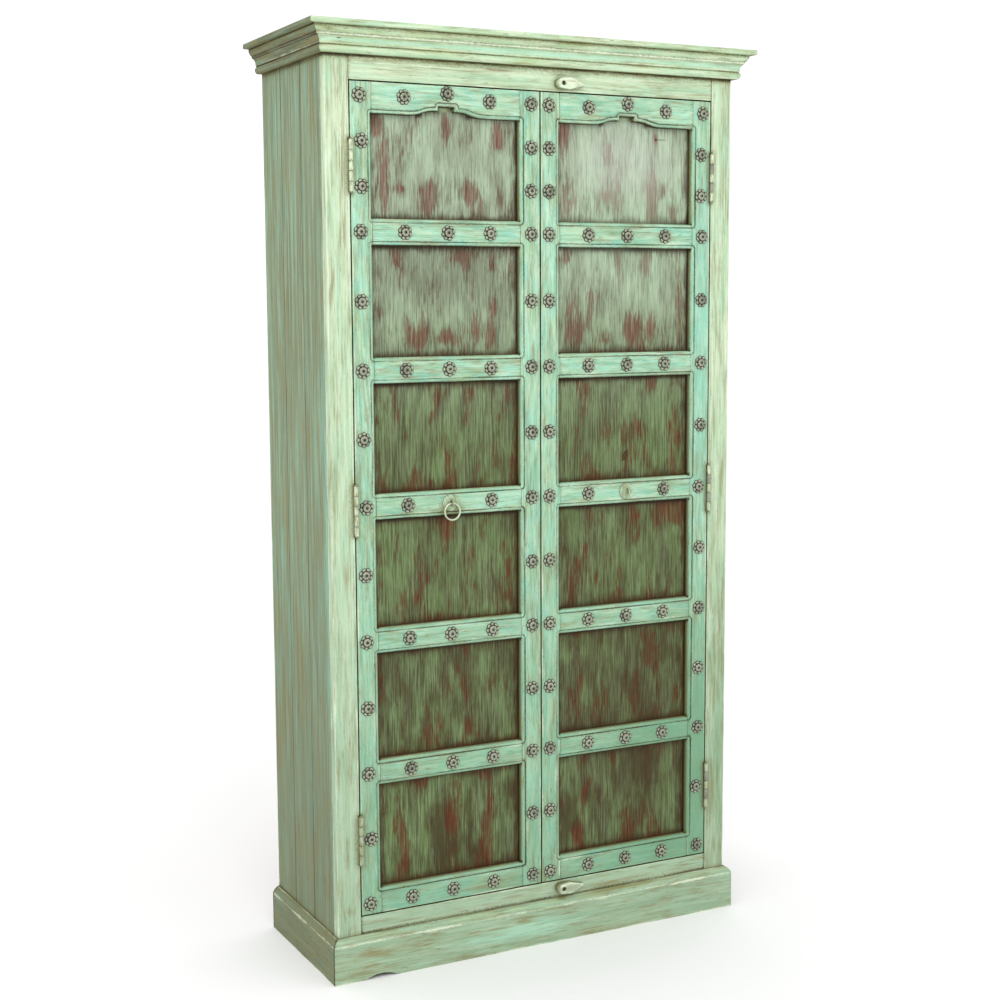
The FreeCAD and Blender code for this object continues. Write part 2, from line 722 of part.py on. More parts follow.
def make_door_frame(hinge_seats):
    """Stiles, tenoned rails and floating panels of the left door, and their mirror images."""
    places = range(PLAIN_PANELS + 1)
    routings = [routed_moulding(place_up) for place_up in places]
    grooves = [panel_board(f"left_door_groove_{place_up}", place_up, "panel_tongue + panel_play")
               for place_up in places]
    panels = [panel_board(f"left_door_panel_{place_up}", place_up, "panel_tongue") for place_up in places]
    keep_pair(group("left_door_panels", panels))

    depth = ("front_face", "door_thickness")
    rails = [("bottom_rail", "door_bottom", "bottom_rail_height", (0,))]
    for place_up in range(1, PLAIN_PANELS + 1):
        rails.append((MIDDLE_RAIL_NAMES[place_up], rail_bottom(place_up), "middle_rail_height",
                      (place_up - 1, place_up)))
    rails.append(("top_rail", "door_top - top_rail_height", "top_rail_height", (PLAIN_PANELS,)))

    tenons = []
    for name, bottom, height, beside in rails:
        label = f"left_door_{name}"
        blank = board(label + "_blank", ("panel_left", "panel_width"), depth, (bottom, height))
        tenon = board(
            label + "_tenons",
            ("panel_left - tenon_length", "panel_width + 2 * tenon_length"),
            ("front_face + tenon_setback", "tenon_thickness"),
            (f"{bottom} + tenon_shoulder", f"{height} - 2 * tenon_shoulder"),
        )
        tenons.append(tenon)
        tools = [grooves[place_up] for place_up in beside] + [routings[place_up] for place_up in beside]
        if name == "top_rail":
            tools.append(arch_opening())
        keep_pair(carve(label, join(label + "_tenoned", blank, tenon), *tools))

    height = ("door_bottom", "door_top - door_bottom")
    cuts = [group("left_door_mortises", tenons), group("left_door_grooves", grooves),
            group("left_door_routings", routings)]
    stiles = (("hinge_stile", "door_left", hinge_seats), ("meeting_stile", "panel_left + panel_width", ()))
    for name, start, seats in stiles:
        label = f"left_door_{name}"
        blank = board(label + "_blank", (start, "door_stile_width"), depth, height)
        keep_pair(carve(label, blank, *cuts, *seats))


# Hinges.

def hinge_leaf(label, middle, leaf_left, knuckles):
    """One leaf of a butt hinge: a plate, and knuckles on short necks bored for the pin."""
    leaf = (leaf_left, "leaf_thickness")
    line = ("hinge_line", "pin_line")
    bottom = f"{middle} - hinge_length / 2"
    pieces = [board(label + "_plate", leaf, ("front_face + leaf_start", "leaf_reach - leaf_start"),
                    (bottom, "hinge_length"))]
    for knuckle in knuckles:
        start = f"{bottom} + {knuckle} * knuckle_pitch + knuckle_gap / 2"
        length = "knuckle_pitch - knuckle_gap"
        pieces.append(rod(f"{label}_knuckle_{knuckle}", "knuckle_radius", length, *line, start))
        pieces.append(board(f"{label}_neck_{knuckle}", leaf, ("pin_line", "pin_forward + leaf_start"),
                            (start, length)))
    bore = rod(label + "_bore", "pin_radius + pin_clearance", "hinge_length", *line, bottom)
    return carve(label + "_bored", join(label + "_whole", *pieces), bore)


def hinge_screws(label, middle, head_at, shank_at):
    """The three screws of a leaf, flush with its face."""
    screws = []
    for step in (-1, 0, 1):
        spot = ("front_face + leaf_reach / 2", f"{middle} + {step} * screw_pitch")
        name = f"{label}_screw_{step + 1}"
        shank = rod(name + "_shank", "screw_radius", "screw_length", shank_at, *spot, ALONG_X)
        head = rod(name + "_head", "screw_head_radius", "screw_head_height", head_at, *spot, ALONG_X)
        screws.append(join(name, shank, head))
    return screws


def make_hinges():
    """Three butt hinges on the left door and their mirror images; returns the seats they need."""
    sides = {
        "frame": ("-half_doorway - leaf_thickness", FRAME_KNUCKLES,
                  "-half_doorway - screw_head_height", "-half_doorway - screw_length"),
        "door": ("door_left", DOOR_KNUCKLES, "door_left", "door_left"),
    }
    seats = {}
    for side, (leaf_left, knuckles, head_at, shank_at) in sides.items():
        leaves, screws, mortises = [], [], []
        for count, middle in enumerate(HINGE_MIDDLES, start=1):
            label = f"left_{side}_hinge_{count}"
            leaf = hinge_leaf(label, middle, leaf_left, knuckles)
            fixed_by = hinge_screws(label, middle, head_at, shank_at)
            leaves.append(carve(label + "_leaf", leaf, group(label + "_screw_set", fixed_by)))
            screws += fixed_by
            mortises.append(board(label + "_mortise", (leaf_left, "leaf_thickness"),
                                  ("front_face", "leaf_reach"),
                                  (f"{middle} - hinge_length / 2", "hinge_length")))
        keep_pair(group(f"left_{side}_hinge_leaves", leaves))
        screw_node = group(f"left_{side}_hinge_screws", screws)
        keep_pair(screw_node)
        seats[side] = (group(f"left_{side}_hinge_mortises", mortises), screw_node)

    pins = []
    for count, middle in enumerate(HINGE_MIDDLES, start=1):
        label = f"left_hinge_pin_{count}"
        line = ("hinge_line", "pin_line")
        bottom, top = f"{middle} - hinge_length / 2", f"{middle} + hinge_length / 2"
        shaft = rod(label + "_shaft", "pin_radius", "hinge_length", *line, bottom)
        foot = rod(label + "_foot", "pin_head_radius", "pin_head_height", *line,
                   f"{bottom} - pin_head_height")
        head = rod(label + "_head", "pin_head_radius", "pin_head_height", *line, top)
        pins.append(join(label, shaft, foot, head))
    keep_pair(group("left_hinge_pins", pins))
    return seats["frame"], seats["door"]


# Studs, pulls and turn buttons.

def stud_places():
    """Middle of every stud on the left door, as X and Z."""
    outer = number("door_left + rosette_inset")
    inner = number("door_left + door_width - rosette_inset")
    beside_hinge = number("hinge_line + knuckle_radius + rosette_clearance + rosette_diameter / 2")
    reach = number("(hinge_length + rosette_diameter) / 2")
    hinges = [number(middle) for middle in HINGE_MIDDLES]
    rails = [number("door_bottom + (bottom_rail_height - moulding_width) / 2")]
    rails += [number(f"{rail_bottom(place_up)} + middle_rail_height / 2")
              for place_up in range(1, PLAIN_PANELS + 1)]
    rails.append(number("door_top - (top_rail_height - moulding_width) / 2"))

    def column(z):
        near_hinge = any(abs(z - hinge) < reach for hinge in hinges)
        return [(beside_hinge if near_hinge else outer, z), (inner, z)]

    places = []
    for place_up, z in enumerate(rails):
        places += column(z)
        step = (inner - outer) / (STUDS_PER_RAIL - 1)
        for count in range(1, STUDS_PER_RAIL - 1):
            middle = count == STUDS_PER_RAIL // 2
            if middle and place_up == HANDLE_RAIL:
                continue
            raised = value("rosette_raise") if middle and place_up == len(rails) - 1 else 0
            places.append((outer + count * step, z + raised))
    for lower, upper in zip(rails[:-2], rails[1:-1]):
        places += column((lower + upper) / 2)
    lower, upper = rails[-2:]
    for third in (1, 2):
        places += column(lower + (upper - lower) * third / 3)
    return places


def stud_shape():
    """One iron stud about the Y axis: a scalloped plate, a raised middle and a nail head."""
    forward = Vector(0, -1, 0)
    centre = Vector(0, 0, 0)
    ring = value("rosette_diameter") / 2 - value("rosette_petal_radius")
    plate = value("rosette_plate")
    dome, dome_top = value("rosette_dome_radius"), value("rosette_dome_height")
    nail, nail_top = value("rosette_nail_radius"), value("rosette_nail_height")
    pieces = [Part.makeCylinder(ring, plate, centre, forward)]
    for petal in range(PETALS):
        angle = 2 * math.pi * petal / PETALS
        spot = Vector(ring * math.cos(angle), 0, ring * math.sin(angle))
        pieces.append(Part.makeCylinder(value("rosette_petal_radius"), plate, spot, forward))
    pieces.append(Part.makeCone(dome, nail, dome_top, centre, forward))
    pieces.append(Part.makeCylinder(nail, nail_top, centre, forward))
    return pieces[0].multiFuse(pieces[1:]).removeSplitter()


def make_studs():
    """All studs of a door, standing on its face."""
    one = stud_shape()
    copies = []
    for x, z in stud_places():
        copy = one.copy()
        copy.translate(Vector(x, value("front_face"), z))
        copies.append(copy)
    studs = doc.addObject("Part::Feature", "left_door_rosettes")
    studs.Shape = Part.makeCompound(copies)
    keep_pair(studs)


def make_pulls():
    """A domed plate with an eye on each door, and the ring that is left on the left one."""
    body = doc.addObject("PartDesign::Body", "left_pull_dome")
    corners = [("0", "0"), ("plate_radius", "0"), ("plate_radius", "plate_rim"), ("0", "plate_dome")]
    rise = "(plate_dome - plate_rim)"
    dome_radius = f"(plate_radius * plate_radius + {rise} * {rise}) / (2 * {rise})"
    profile = outline(body, "left_pull_profile", "XY_Plane", corners, {2: (dome_radius, 1)})
    turn = body.newObject("PartDesign::Revolution", "left_pull_turning")
    turn.Profile = profile
    turn.ReferenceAxis = (profile, ["V_Axis"])
    turn.Angle = 360
    orient(body, (1, 0, 0), (0, -1, 0), (0, 0, -1))
    place(body, "door_middle", "front_face", "handle_rail_middle")

    eye = doc.addObject("Part::Torus", "left_pull_eye")
    bind(eye, "Radius1", "eye_radius")
    bind(eye, "Radius2", "eye_wire_radius")
    eye.Placement = Placement(Vector(), ALONG_X)
    place(eye, "door_middle", "eye_line", "handle_rail_middle")
    keep_pair(join("left_pull_plate", body, eye))

    ring = doc.addObject("Part::Torus", "ring_pull")
    bind(ring, "Radius1", "ring_radius")
    bind(ring, "Radius2", "ring_wire_radius")
    ring.Placement = Placement(Vector(), TO_THE_FRONT)
    place(ring, "door_middle", "eye_line", "ring_line - ring_radius")
    keep(ring)


def make_turn_button(label, line):
    """A carved wooden button, turned clear of the doors, with a sunk hole for its pivot screw."""
    body = doc.addObject("PartDesign::Body", label)
    corners = [
        ("-button_head_offset", "-button_head_radius"),
        ("button_shoulder", "-button_half_width"),
        ("button_tip", "-button_tip_half_width"),
        ("button_tip", "button_tip_half_width"),
        ("button_shoulder", "button_half_width"),
        ("-button_head_offset", "button_head_radius"),
        ("-button_head_offset - button_head_radius", "0"),
    ]
    arcs = {5: ("button_head_radius", 1), 6: ("button_head_radius", 1)}
    shape = outline(body, label + "_outline", "XY_Plane", corners, arcs)
    pad(body, label + "_blank", shape, "button_thickness")
    slope = [("button_slope_start", "button_thickness"), ("button_tip + 1", "button_tip_thickness"),
             ("button_tip + 1", "button_thickness")]
    pocket_through(body, label + "_slope", outline(body, label + "_slope_side", "XZ_Plane", slope))
    hole = circle_sketch(body, label + "_hole_circle", "pivot_radius + pivot_clearance")
    pocket_through(body, label + "_hole", hole)
    seat = circle_sketch(body, label + "_seat_circle", "pivot_head_radius + pivot_head_gap",
                         "button_thickness")
    bore = body.newObject("PartDesign::Pocket", label + "_seat")
    bore.Profile = seat
    bind(bore, "Length", "button_bore_depth")
    orient(body, (1, 0, 0), (0, 0, 1), (0, -1, 0))
    place(body, "button_offset", "button_back", line)
    return keep(body)


def make_turn_buttons():
    """One button above the doors, one below, and the screws that they turn on."""
    screws = []
    for side in ("upper", "lower"):
        line = f"{side}_button_line"
        make_turn_button(f"{side}_turn_button", line)
        name = f"{side}_pivot_screw"
        shank = rod(name + "_shank", "pivot_radius", "front_face + pivot_depth - pivot_head_back",
                    "button_offset", "front_face + pivot_depth", line, TO_THE_FRONT)
        head = rod(name + "_head", "pivot_head_radius", "pivot_head_height",
                   "button_offset", "pivot_head_back", line, TO_THE_FRONT)
        screws.append(join(name, shank, head))
    keep(group("turn_button_screws", screws))


def check_and_write():
    """Stop on any failed feature or poor solid, then write one file per piece."""
    doc.recompute()
    for thing in doc.Objects:
        if "Invalid" in thing.State or "Error" in thing.State:
            raise RuntimeError(f"{thing.Label} failed: {thing.State}")
    for label, thing in nodes.items():
        shape = thing.Shape
        if shape.isNull() or not shape.isValid() or not shape.Solids:
            raise RuntimeError(f"{label} is not a sound solid")
    os.makedirs("parts", exist_ok=True)
    for label, thing in nodes.items():
        thing.Shape.exportStep(f"parts/{label}.step")
        box = thing.Shape.BoundBox
        print(f"{label:28s} solids {len(thing.Shape.Solids):3d}  volume {thing.Shape.Volume:12.1f}"
              f"  x {box.XMin:8.2f} {box.XMax:8.2f}  y {box.YMin:8.2f} {box.YMax:8.2f}"
              f"  z {box.ZMin:8.2f} {box.ZMax:8.2f}")
    print(len(nodes), "pieces written")


fill_sheet()
frame_seats, door_seats = make_hinges()
make_face_frame(frame_seats)
make_carcass()
make_plinth()
make_cornice()
make_door_frame(door_seats)
make_studs()
make_pulls()
make_turn_buttons()
check_and_write()
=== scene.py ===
# Painted two-door cabinet: the finish of every piece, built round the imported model. Metres, +Z up.
import itertools
import json
import math
import random
from typing import NamedTuple

import bmesh
import bpy
import numpy as np
from bpy.props import FloatProperty, FloatVectorProperty, PointerProperty
from mathutils import Matrix, Vector, noise
from mathutils.bvhtree import BVHTree
from mathutils.kdtree import KDTree


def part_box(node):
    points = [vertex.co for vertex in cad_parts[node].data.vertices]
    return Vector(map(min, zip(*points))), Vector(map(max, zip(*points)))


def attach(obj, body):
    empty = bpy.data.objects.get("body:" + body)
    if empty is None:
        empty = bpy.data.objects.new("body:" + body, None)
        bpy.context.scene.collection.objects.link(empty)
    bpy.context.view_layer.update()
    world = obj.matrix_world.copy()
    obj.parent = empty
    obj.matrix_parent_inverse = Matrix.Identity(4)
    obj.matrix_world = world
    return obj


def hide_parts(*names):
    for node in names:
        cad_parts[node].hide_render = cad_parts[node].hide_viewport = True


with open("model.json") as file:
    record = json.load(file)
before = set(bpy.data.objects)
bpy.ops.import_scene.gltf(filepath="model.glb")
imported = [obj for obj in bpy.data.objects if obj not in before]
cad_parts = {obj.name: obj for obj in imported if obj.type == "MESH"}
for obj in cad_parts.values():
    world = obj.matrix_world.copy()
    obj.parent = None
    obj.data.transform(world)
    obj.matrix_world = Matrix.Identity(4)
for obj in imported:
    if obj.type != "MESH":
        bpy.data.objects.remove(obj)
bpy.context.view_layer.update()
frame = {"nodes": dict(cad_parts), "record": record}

bl_info = {
    "name": "Painted two-door cabinet",
    "version": (1, 0, 0),
    "blender": (4, 5, 0),
    "location": "View3D > Sidebar > Cabinet",
    "description": "Dresses the pieces of a painted cabinet with worn paint, wood and metal",
    "category": "Object",
}

MM = 0.001
X, Y, Z = range(3)
# From the front into the cabinet.
INWARD = Vector((0, 1, 0))

# The record says which body carries a node and which finish it has.
BODY_OF = {node: body for body, nodes in frame["record"]["behaviour"]["bodies"].items() for node in nodes}
SLOT_OF = {row["node"]: row["material_slot"] for row in frame["record"]["subparts"]}

SIDES = ("left", "right")

# Each board's pattern starts so many metres further on, so that no two boards are alike.
board_count = itertools.count(1)
BOARD_SHIFT = 1.37

# Two corners closer than this are one, and faces within this angle are one flat.
MERGE_DISTANCE = 0.002 * MM
FLAT_ANGLE = math.radians(0.5)
# Edges sharper than the first angle are rubbed, and those sharper than the second are shaded as edges.
SHARP_ANGLE = math.radians(40)
SMOOTH_ANGLE = math.radians(35)
# Least cosines of a hidden face to the inner side, and of an edge along the grain to the grain.
HIDDEN_TURN = 0.5
ALONG_GRAIN = 0.75
# The small faces of a board are longer along its grain and through its thickness.
GRAIN_STRETCH = 1.6
THICKNESS_STRETCH = 2

# Dirt and painted shade on a scale from 0 to 1, where more counts as 1: close to another board, on faces
# under a moulding that look down, and in an inner corner, where it is dirt with painted shade; and dirt
# where a board ends against another, in a hairline and in an open mitre.
CLOSE_DIRT_AND_SHADE = 1.4
UNDERSIDE_SHADE_AND_DIRT = 3
CORNER_DIRT_AND_SHADE = 0.8
HAIRLINE_DIRT = 0.2
OPEN_JOINT_DIRT = 1.3
# Most painted shade a moulding gets from its depth, and shares of dirt and painted shade that a door's gap
# keeps off.
MOULDING_HALO = 0.8
DIRT_AND_SHADE_KEPT_OFF = 0.9
HALO_KEPT_OFF = 0.8
# Bumps of noise to the metre: patches of dirt and painted shade, hollows left by the plane, and nicks in the
# edges.
DIRT_AND_SHADE_PATCHES = 14
PLANE_HOLLOWS = 21
EDGE_NICKS = 60
# Mean and spread of dirt and painted shade from patch to patch, and least share of wood an edge may lose.
PATCH_DIRT_AND_SHADE = 0.8
PATCH_SPREAD = 0.6
EDGE_LEAST = 0.4
# Dirt and painted shade hide an edge's wear so many times over, and metal loses this share of what wood
# does.
DIRT_AND_SHADE_OVER_WEAR = 2
METAL_RUB = 0.25

# Chalk paint reflects little: its specular level, where 0.5 is usual.
CHALK_SHINE = 0.2


def linear(hex_colour):
    """An sRGB hex colour as linear red, green and blue."""
    parts = [int(hex_colour[at:at + 2], 16) / 255 for at in (1, 3, 5)]
    return [part / 12.92 if part <= 0.04045 else ((part + 0.055) / 1.055) ** 2.4 for part in parts]


def length(name, size, description):
    """A size that a user may change, given in millimetres."""
    return FloatProperty(name=name, description=description, default=size * MM, min=0, unit="LENGTH")


def colour(name, hex_colour, description):
    """A colour that a user may change."""
    return FloatVectorProperty(name=name, description=description, default=linear(hex_colour), size=3,
                               min=0, max=1, subtype="COLOR")


class CabinetSizes(bpy.types.PropertyGroup):
    """Sizes of the wear and of the small faces that carry it."""
    door_step: length("Door step", 5, "Size of the small faces on the doors and the face frame")
    panel_step: length("Panel step", 7, "Size of the small faces on the panels")
    board_step: length("Board step", 8, "Size of the small faces on the sides")
    hidden_step: length("Inner step", 18, "Size of the small faces on boards inside the cabinet")
    edge_strip: length("Edge strip", 1.3, "Width of the rubbed strip along an edge")
    edge_loss: length("Edge loss", 0.5, "Most wood rubbed off an edge")
    waviness: length("Waviness", 0.35, "Depth of the hollows left by hand planing")
    wear_reach: length("Wear reach", 5, "How far the wear spreads from an edge")
    # Crevices and corners hold dirt with painted shade; a door's mouldings get painted shade below its face.
    crevice_reach: length("Crevice reach", 3, "Width of the crevices that hold dark dirt")
    corner_reach: length("Corner reach", 18, "Width of the corners that hold some dirt")
    joint_reach: length("Joint reach", 3, "Width of the dirt along a joint")
    shade_start_depth: length("Clean depth", 2, "Depth below a door's face from which its mouldings yellow")
    shade_full_depth: length("Dirty depth", 11, "Depth below a door's face from which its mouldings are brown")
    gap_depth: length("Gap depth", 6, "Depth below a door's face from which the gap round it is clean")


class CabinetColours(bpy.types.PropertyGroup):
    """Colours of the paints, the wood and the metals."""
    mint: colour("Mint", "#8FC2A3", "Door frames")
    mint_light: colour("Light mint", "#AFDFC6", "Door frames, where the paint is thick")
    # Dark mint also stands for painted shade near the foot and towards the right door's lower hinge.
    mint_dark: colour("Dark mint", "#6E9A7A", "Door frames, near the foot")
    turquoise: colour("Turquoise", "#86C9B6", "Blue patches of the door frames")
    cream_mint: colour("Cream mint", "#B9D6B6", "Face frame")
    cream: colour("Cream", "#DDE8CC", "Undercoat on rubbed edges")
    lime: colour("Pale lime", "#AFC598", "Cornice and yellowed paint")
    # Sage and dark sage are darker than the front's paints, partly as painted shade of the sides.
    sage: colour("Sage", "#88A48A", "Sides and plinth")
    sage_dark: colour("Dark sage", "#717D62", "Sides and plinth, shaded coats")
    panel_grey: colour("Panel grey green", "#8E9D84", "Upper door panels")
    # Ash grey is a painted sheen of reflected light on the right top door panel.
    ash: colour("Ash grey", "#C9C4C4", "Right top door panel")
    panel_olive: colour("Panel olive", "#424828", "Lower door panels")
    # Moss on the right upright is painted shade, darker towards its foot.
    moss: colour("Moss", "#5C7242", "Greener streaks of the lower panels, and the right upright")
    red_wood: colour("Red wood", "#743A33", "Bare patches of the upper panels")
    rust_wood: colour("Rust wood", "#5C1C08", "Bare patches of the lower panels")
    # Olive, umber and grime also carry painted shade in corners, crevices, deep mouldings and round panel
    # rims.
    olive: colour("Olive", "#7E7844", "Thin dirt in corners and round the studs")
    umber: colour("Umber", "#3A2A10", "Wax round the rim of a panel")
    grime: colour("Grime", "#2C2010", "Wax and dirt in the crevices")
    scuff: colour("Scuff", "#857A4E", "Wood that shows through thin paint")
    wood: colour("Bare wood", "#7B5C3E", "Unpainted boards")
    wood_dark: colour("Dark wood", "#4E3724", "Grain of the unpainted boards")
    iron: colour("Iron", "#26231B", "Studs, in the hollows")
    pewter: colour("Pewter", "#AAB09A", "Studs, rubbed bright")
    steel: colour("Steel", "#9A9C8C", "Hinges")
    rust: colour("Rust", "#5A4A36", "Hinges, where rusted")
    brass: colour("Pale brass", "#C6D2B6", "Ring pull")


def sizes():
    """The sizes in use."""
    return bpy.context.scene.cabinet_sizes


def paint(name):
    """One of the colours in use, as a shader takes it."""
    return (*getattr(bpy.context.scene.cabinet_colours, name), 1.0)


# Meshes

METAL_SLOTS = ("hinge_steel", "stud_iron", "pull_metal")


def surfaces_of(nodes):
    """The surfaces of some CAD nodes at rest in one tree, to find what lies near a point."""
    points, faces = [], []
    for node in nodes:
        mesh = frame["nodes"][node].data
        first = len(points)
        points += [vert.co.copy() for vert in mesh.vertices]
        faces += [[first + corner for corner in face.vertices] for face in mesh.polygons]
    return BVHTree.FromPolygons(points, faces)


# The turn buttons are left out: they turn, so no dirt or painted shade keeps their outline.
DIRT_AND_SHADE_NODES = [node for node, slot in SLOT_OF.items() if slot != "button_paint"]
ALL_SURFACES = surfaces_of(DIRT_AND_SHADE_NODES)
WOOD_SURFACES = surfaces_of([node for node in DIRT_AND_SHADE_NODES if SLOT_OF[node] not in METAL_SLOTS])


def copy_of(node):
    """A CAD node's solid with its doubles merged and its flat faces whole."""
    bm = bmesh.new()
    bm.from_mesh(frame["nodes"][node].data)
    bmesh.ops.remove_doubles(bm, verts=bm.verts[:], dist=MERGE_DISTANCE)
    bmesh.ops.dissolve_limit(bm, angle_limit=FLAT_ANGLE, verts=bm.verts[:], edges=bm.edges[:])
    return bm


def loose_parts(bm):
    """The separate solids of a mesh as lists of vertices, in the order of the mesh."""
    bm.verts.index_update()
    left = set(bm.verts)
    parts = []
    while left:
        waiting = [left.pop()]
        part = []
        while waiting:
            vert = waiting.pop()
            part.append(vert)
            for edge in vert.link_edges:
                other = edge.other_vert(vert)
                if other in left:
                    left.remove(other)
                    waiting.append(other)
        parts.append(part)
    return sorted(parts, key=lambda part: min(vert.index for vert in part))


def corners(verts):
    """Lowest and highest corner of some vertices."""
    places = np.array([vert.co for vert in verts])
    return Vector(places.min(axis=0)), Vector(places.max(axis=0))


def cut_across(bm, axis, places, inner_face):
    """Cut the faces that can be seen at the given places along one axis, from the lowest up."""
    normal = Vector([float(number == axis) for number in range(3)])
    waiting = [face for face in bm.faces
               if inner_face is None or face.normal.dot(inner_face) < HIDDEN_TURN]
    for place in sorted(places):
        edges = {edge for face in waiting for edge in face.edges}
        result = bmesh.ops.bisect_plane(bm, geom=waiting + list(edges), dist=MERGE_DISTANCE,
                                        plane_co=normal * place, plane_no=normal)
        waiting = [item for item in result["geom"]
                   if type(item) is bmesh.types.BMFace and item.calc_center_bounds()[axis] > place]


def cut_small(bm, step, grain, inner_face):
    """Cut a board into small faces, with a narrow strip along the edges of each solid."""
    strip = sizes().edge_strip
    boxes = [corners(part) for part in loose_parts(bm)]
    low, high = corners(bm.verts)
    longest_first = sorted(range(3), key=lambda number: low[number] - high[number])
    stretch = {longest_first[-1]: THICKNESS_STRETCH, grain: GRAIN_STRETCH}
    for axis in longest_first:
        size = step * stretch.get(axis, 1)
        count = max(int((high[axis] - low[axis]) / size), 1)
        places = {low[axis] + (high[axis] - low[axis]) * turn / count for turn in range(1, count)}
        for part_low, part_high in boxes:
            places |= {part_low[axis] + strip, part_high[axis] - strip}
        cut_across(bm, axis, places, inner_face)


def nearby(surfaces, place, normal, reach):
    """How much of the room before a surface is taken up, and how squarely that faces it, from 0 to 1."""
    _, facing, _, distance = surfaces.find_nearest(place + normal * reach, reach)
    if distance is None:
        return 0.0, 0.0
    return 1.0 - distance / reach, max(-facing.dot(normal), 0)


class EdgeTree:
    """Finds how near a point is to some vertices: 1 on one of them, 0 from the reach on."""

    def __init__(self, verts, reach):
        self.empty = not verts
        self.reach = reach
        self.tree = KDTree(len(verts))
        for number, vert in enumerate(verts):
            self.tree.insert(vert.co, number)
        self.tree.balance()

    def near(self, place):
        return 0.0 if self.empty else max(1 - self.tree.find(place)[2] / self.reach, 0)


def edge_verts(bm, grain, sharp):
    """Vertices on sharp outer edges along the grain, on those across it, and in sharp inner corners."""
    along, ends, inner = {}, {}, {}
    for edge in bm.edges:
        if len(edge.link_faces) == 2:
            angle = edge.calc_face_angle_signed()
            run = edge.verts[1].co - edge.verts[0].co
            if angle > sharp:
                kind = along if abs(run[grain]) > ALONG_GRAIN * run.length else ends
            elif angle < -SHARP_ANGLE:
                kind = inner
            else:
                continue
            for vert in edge.verts:
                kind[vert.index] = vert
    return along, ends, inner


def weather(bm, grain, inner_face=None, rub=1.0, face=None, crevice=1.0, joint=HAIRLINE_DIRT,
            sharp=SHARP_ANGLE):
    """Rub a finely cut board down by hand, and keep its grain, wear, dirt with painted shade, and bare wood
    as attributes.

    The inner face is unpainted. Rub, crevice and joint are shares of the wood lost, of the dirt and painted
    shade in crevices, and of the dirt in joints. Face is where a door's front lies along Y; below it the
    mouldings get painted shade. Edges from the angle sharp on are rubbed.
    """
    use = sizes()
    grain_layer = bm.verts.layers.float_vector.new("grain")
    wear_layer, dirt_and_shade_layer, halo_layer, bare_layer = [
        bm.verts.layers.float.new(name) for name in ("wear", "dirt_and_shade", "halo", "bare")]
    parts = loose_parts(bm)
    bm.normal_update()
    along, ends, inner = edge_verts(bm, grain, sharp)
    outer_tree = EdgeTree(along.values(), use.wear_reach)
    inner_tree = EdgeTree(inner.values(), use.crevice_reach)
    joint_tree = EdgeTree(ends.values(), use.joint_reach)
    across = [axis for axis in range(3) if axis != grain]
    moves = []
    for part in parts:
        shift = next(board_count) * BOARD_SHIFT
        seed = Vector((shift, shift, shift))
        for vert in part:
            place, normal = vert.co, vert.normal
            vert[grain_layer] = (place[grain] + shift, place[across[0]] + shift, place[across[1]] + shift)
            tight, opposite = nearby(WOOD_SURFACES, place, normal, use.crevice_reach)
            depth, covered, under = 0.0, 0.0, 0.0
            if face is not None:
                depth = (place.y - face - use.shade_start_depth) / (use.shade_full_depth - use.shade_start_depth)
                depth = min(depth, MOULDING_HALO)
                covered = opposite * min(max((place.y - face) / use.gap_depth, 0), 1)
                under = UNDERSIDE_SHADE_AND_DIRT * max(-normal.z, 0) * max(depth, 0)
            # This dirt is also painted shade: close to other boards, on faces under a moulding that look
            # down, and in corners.
            gathered_dirt_and_shade = max(CLOSE_DIRT_AND_SHADE * tight, under) * (1 - DIRT_AND_SHADE_KEPT_OFF * covered)
            gathered_dirt_and_shade = max(gathered_dirt_and_shade, CORNER_DIRT_AND_SHADE * inner_tree.near(place)) * crevice
            gathered_dirt_and_shade *= PATCH_DIRT_AND_SHADE + PATCH_SPREAD * noise.noise(place * DIRT_AND_SHADE_PATCHES + seed)
            vert[dirt_and_shade_layer] = min(max(gathered_dirt_and_shade, joint * joint_tree.near(place)), 1)
            # The halo is painted shade, with some dirt, near other surfaces and deep in a door's mouldings.
            room = nearby(ALL_SURFACES, place, normal, use.corner_reach)[0]
            vert[halo_layer] = max(room, depth) * (1 - HALO_KEPT_OFF * covered)
            vert[wear_layer] = outer_tree.near(place) * max(1 - DIRT_AND_SHADE_OVER_WEAR * vert[dirt_and_shade_layer], 0)
            if inner_face is not None:
                vert[bare_layer] = max(min(normal.dot(inner_face) / HIDDEN_TURN, 1), 0)
            loss = use.waviness * (1 + noise.noise(place * PLANE_HOLLOWS + seed)) / 2
            if vert.index in along or vert.index in ends:
                nick = abs(noise.noise(place * EDGE_NICKS + seed))
                loss += use.edge_loss * (EDGE_LEAST + (1 - EDGE_LEAST) * nick)
            moves.append((vert, normal * -loss * rub))
    for vert, move in moves:
        vert.co += move


def new_object(bm, name, material):
    """Make an object of a mesh and give it its finish."""
    mesh = bpy.data.meshes.new(name)
    bm.to_mesh(mesh)
    bm.free()
    mesh.materials.append(material)
    piece = bpy.data.objects.new(name, mesh)
    bpy.context.scene.collection.objects.link(piece)
    return piece


def finish_piece(bm, name, nodes, material, smooth=SMOOTH_ANGLE):
    """Put a mesh in the place of some CAD nodes, riding on their body."""
    piece = new_object(bm, name, material)
    piece.data.shade_smooth()
    piece.data.set_sharp_from_angle(angle=smooth)
    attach(piece, BODY_OF[nodes[0]])
    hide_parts(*nodes)


def worn_board(node, grain, step, material, inner_face=None, shape=None, **wear):
    """One CAD board, cut small, rubbed down and painted."""
    bm = copy_of(node)
    cut_small(bm, step, grain, inner_face)
    if shape:
        shape(bm)
    weather(bm, grain, inner_face, **wear)
    finish_piece(bm, f"{node}_worn", [node], material)


# Materials

# Roughness of the noise in every pattern, and strength of every relief.
CLOUD_ROUGHNESS = 0.6
BUMP_STRENGTH = 0.8
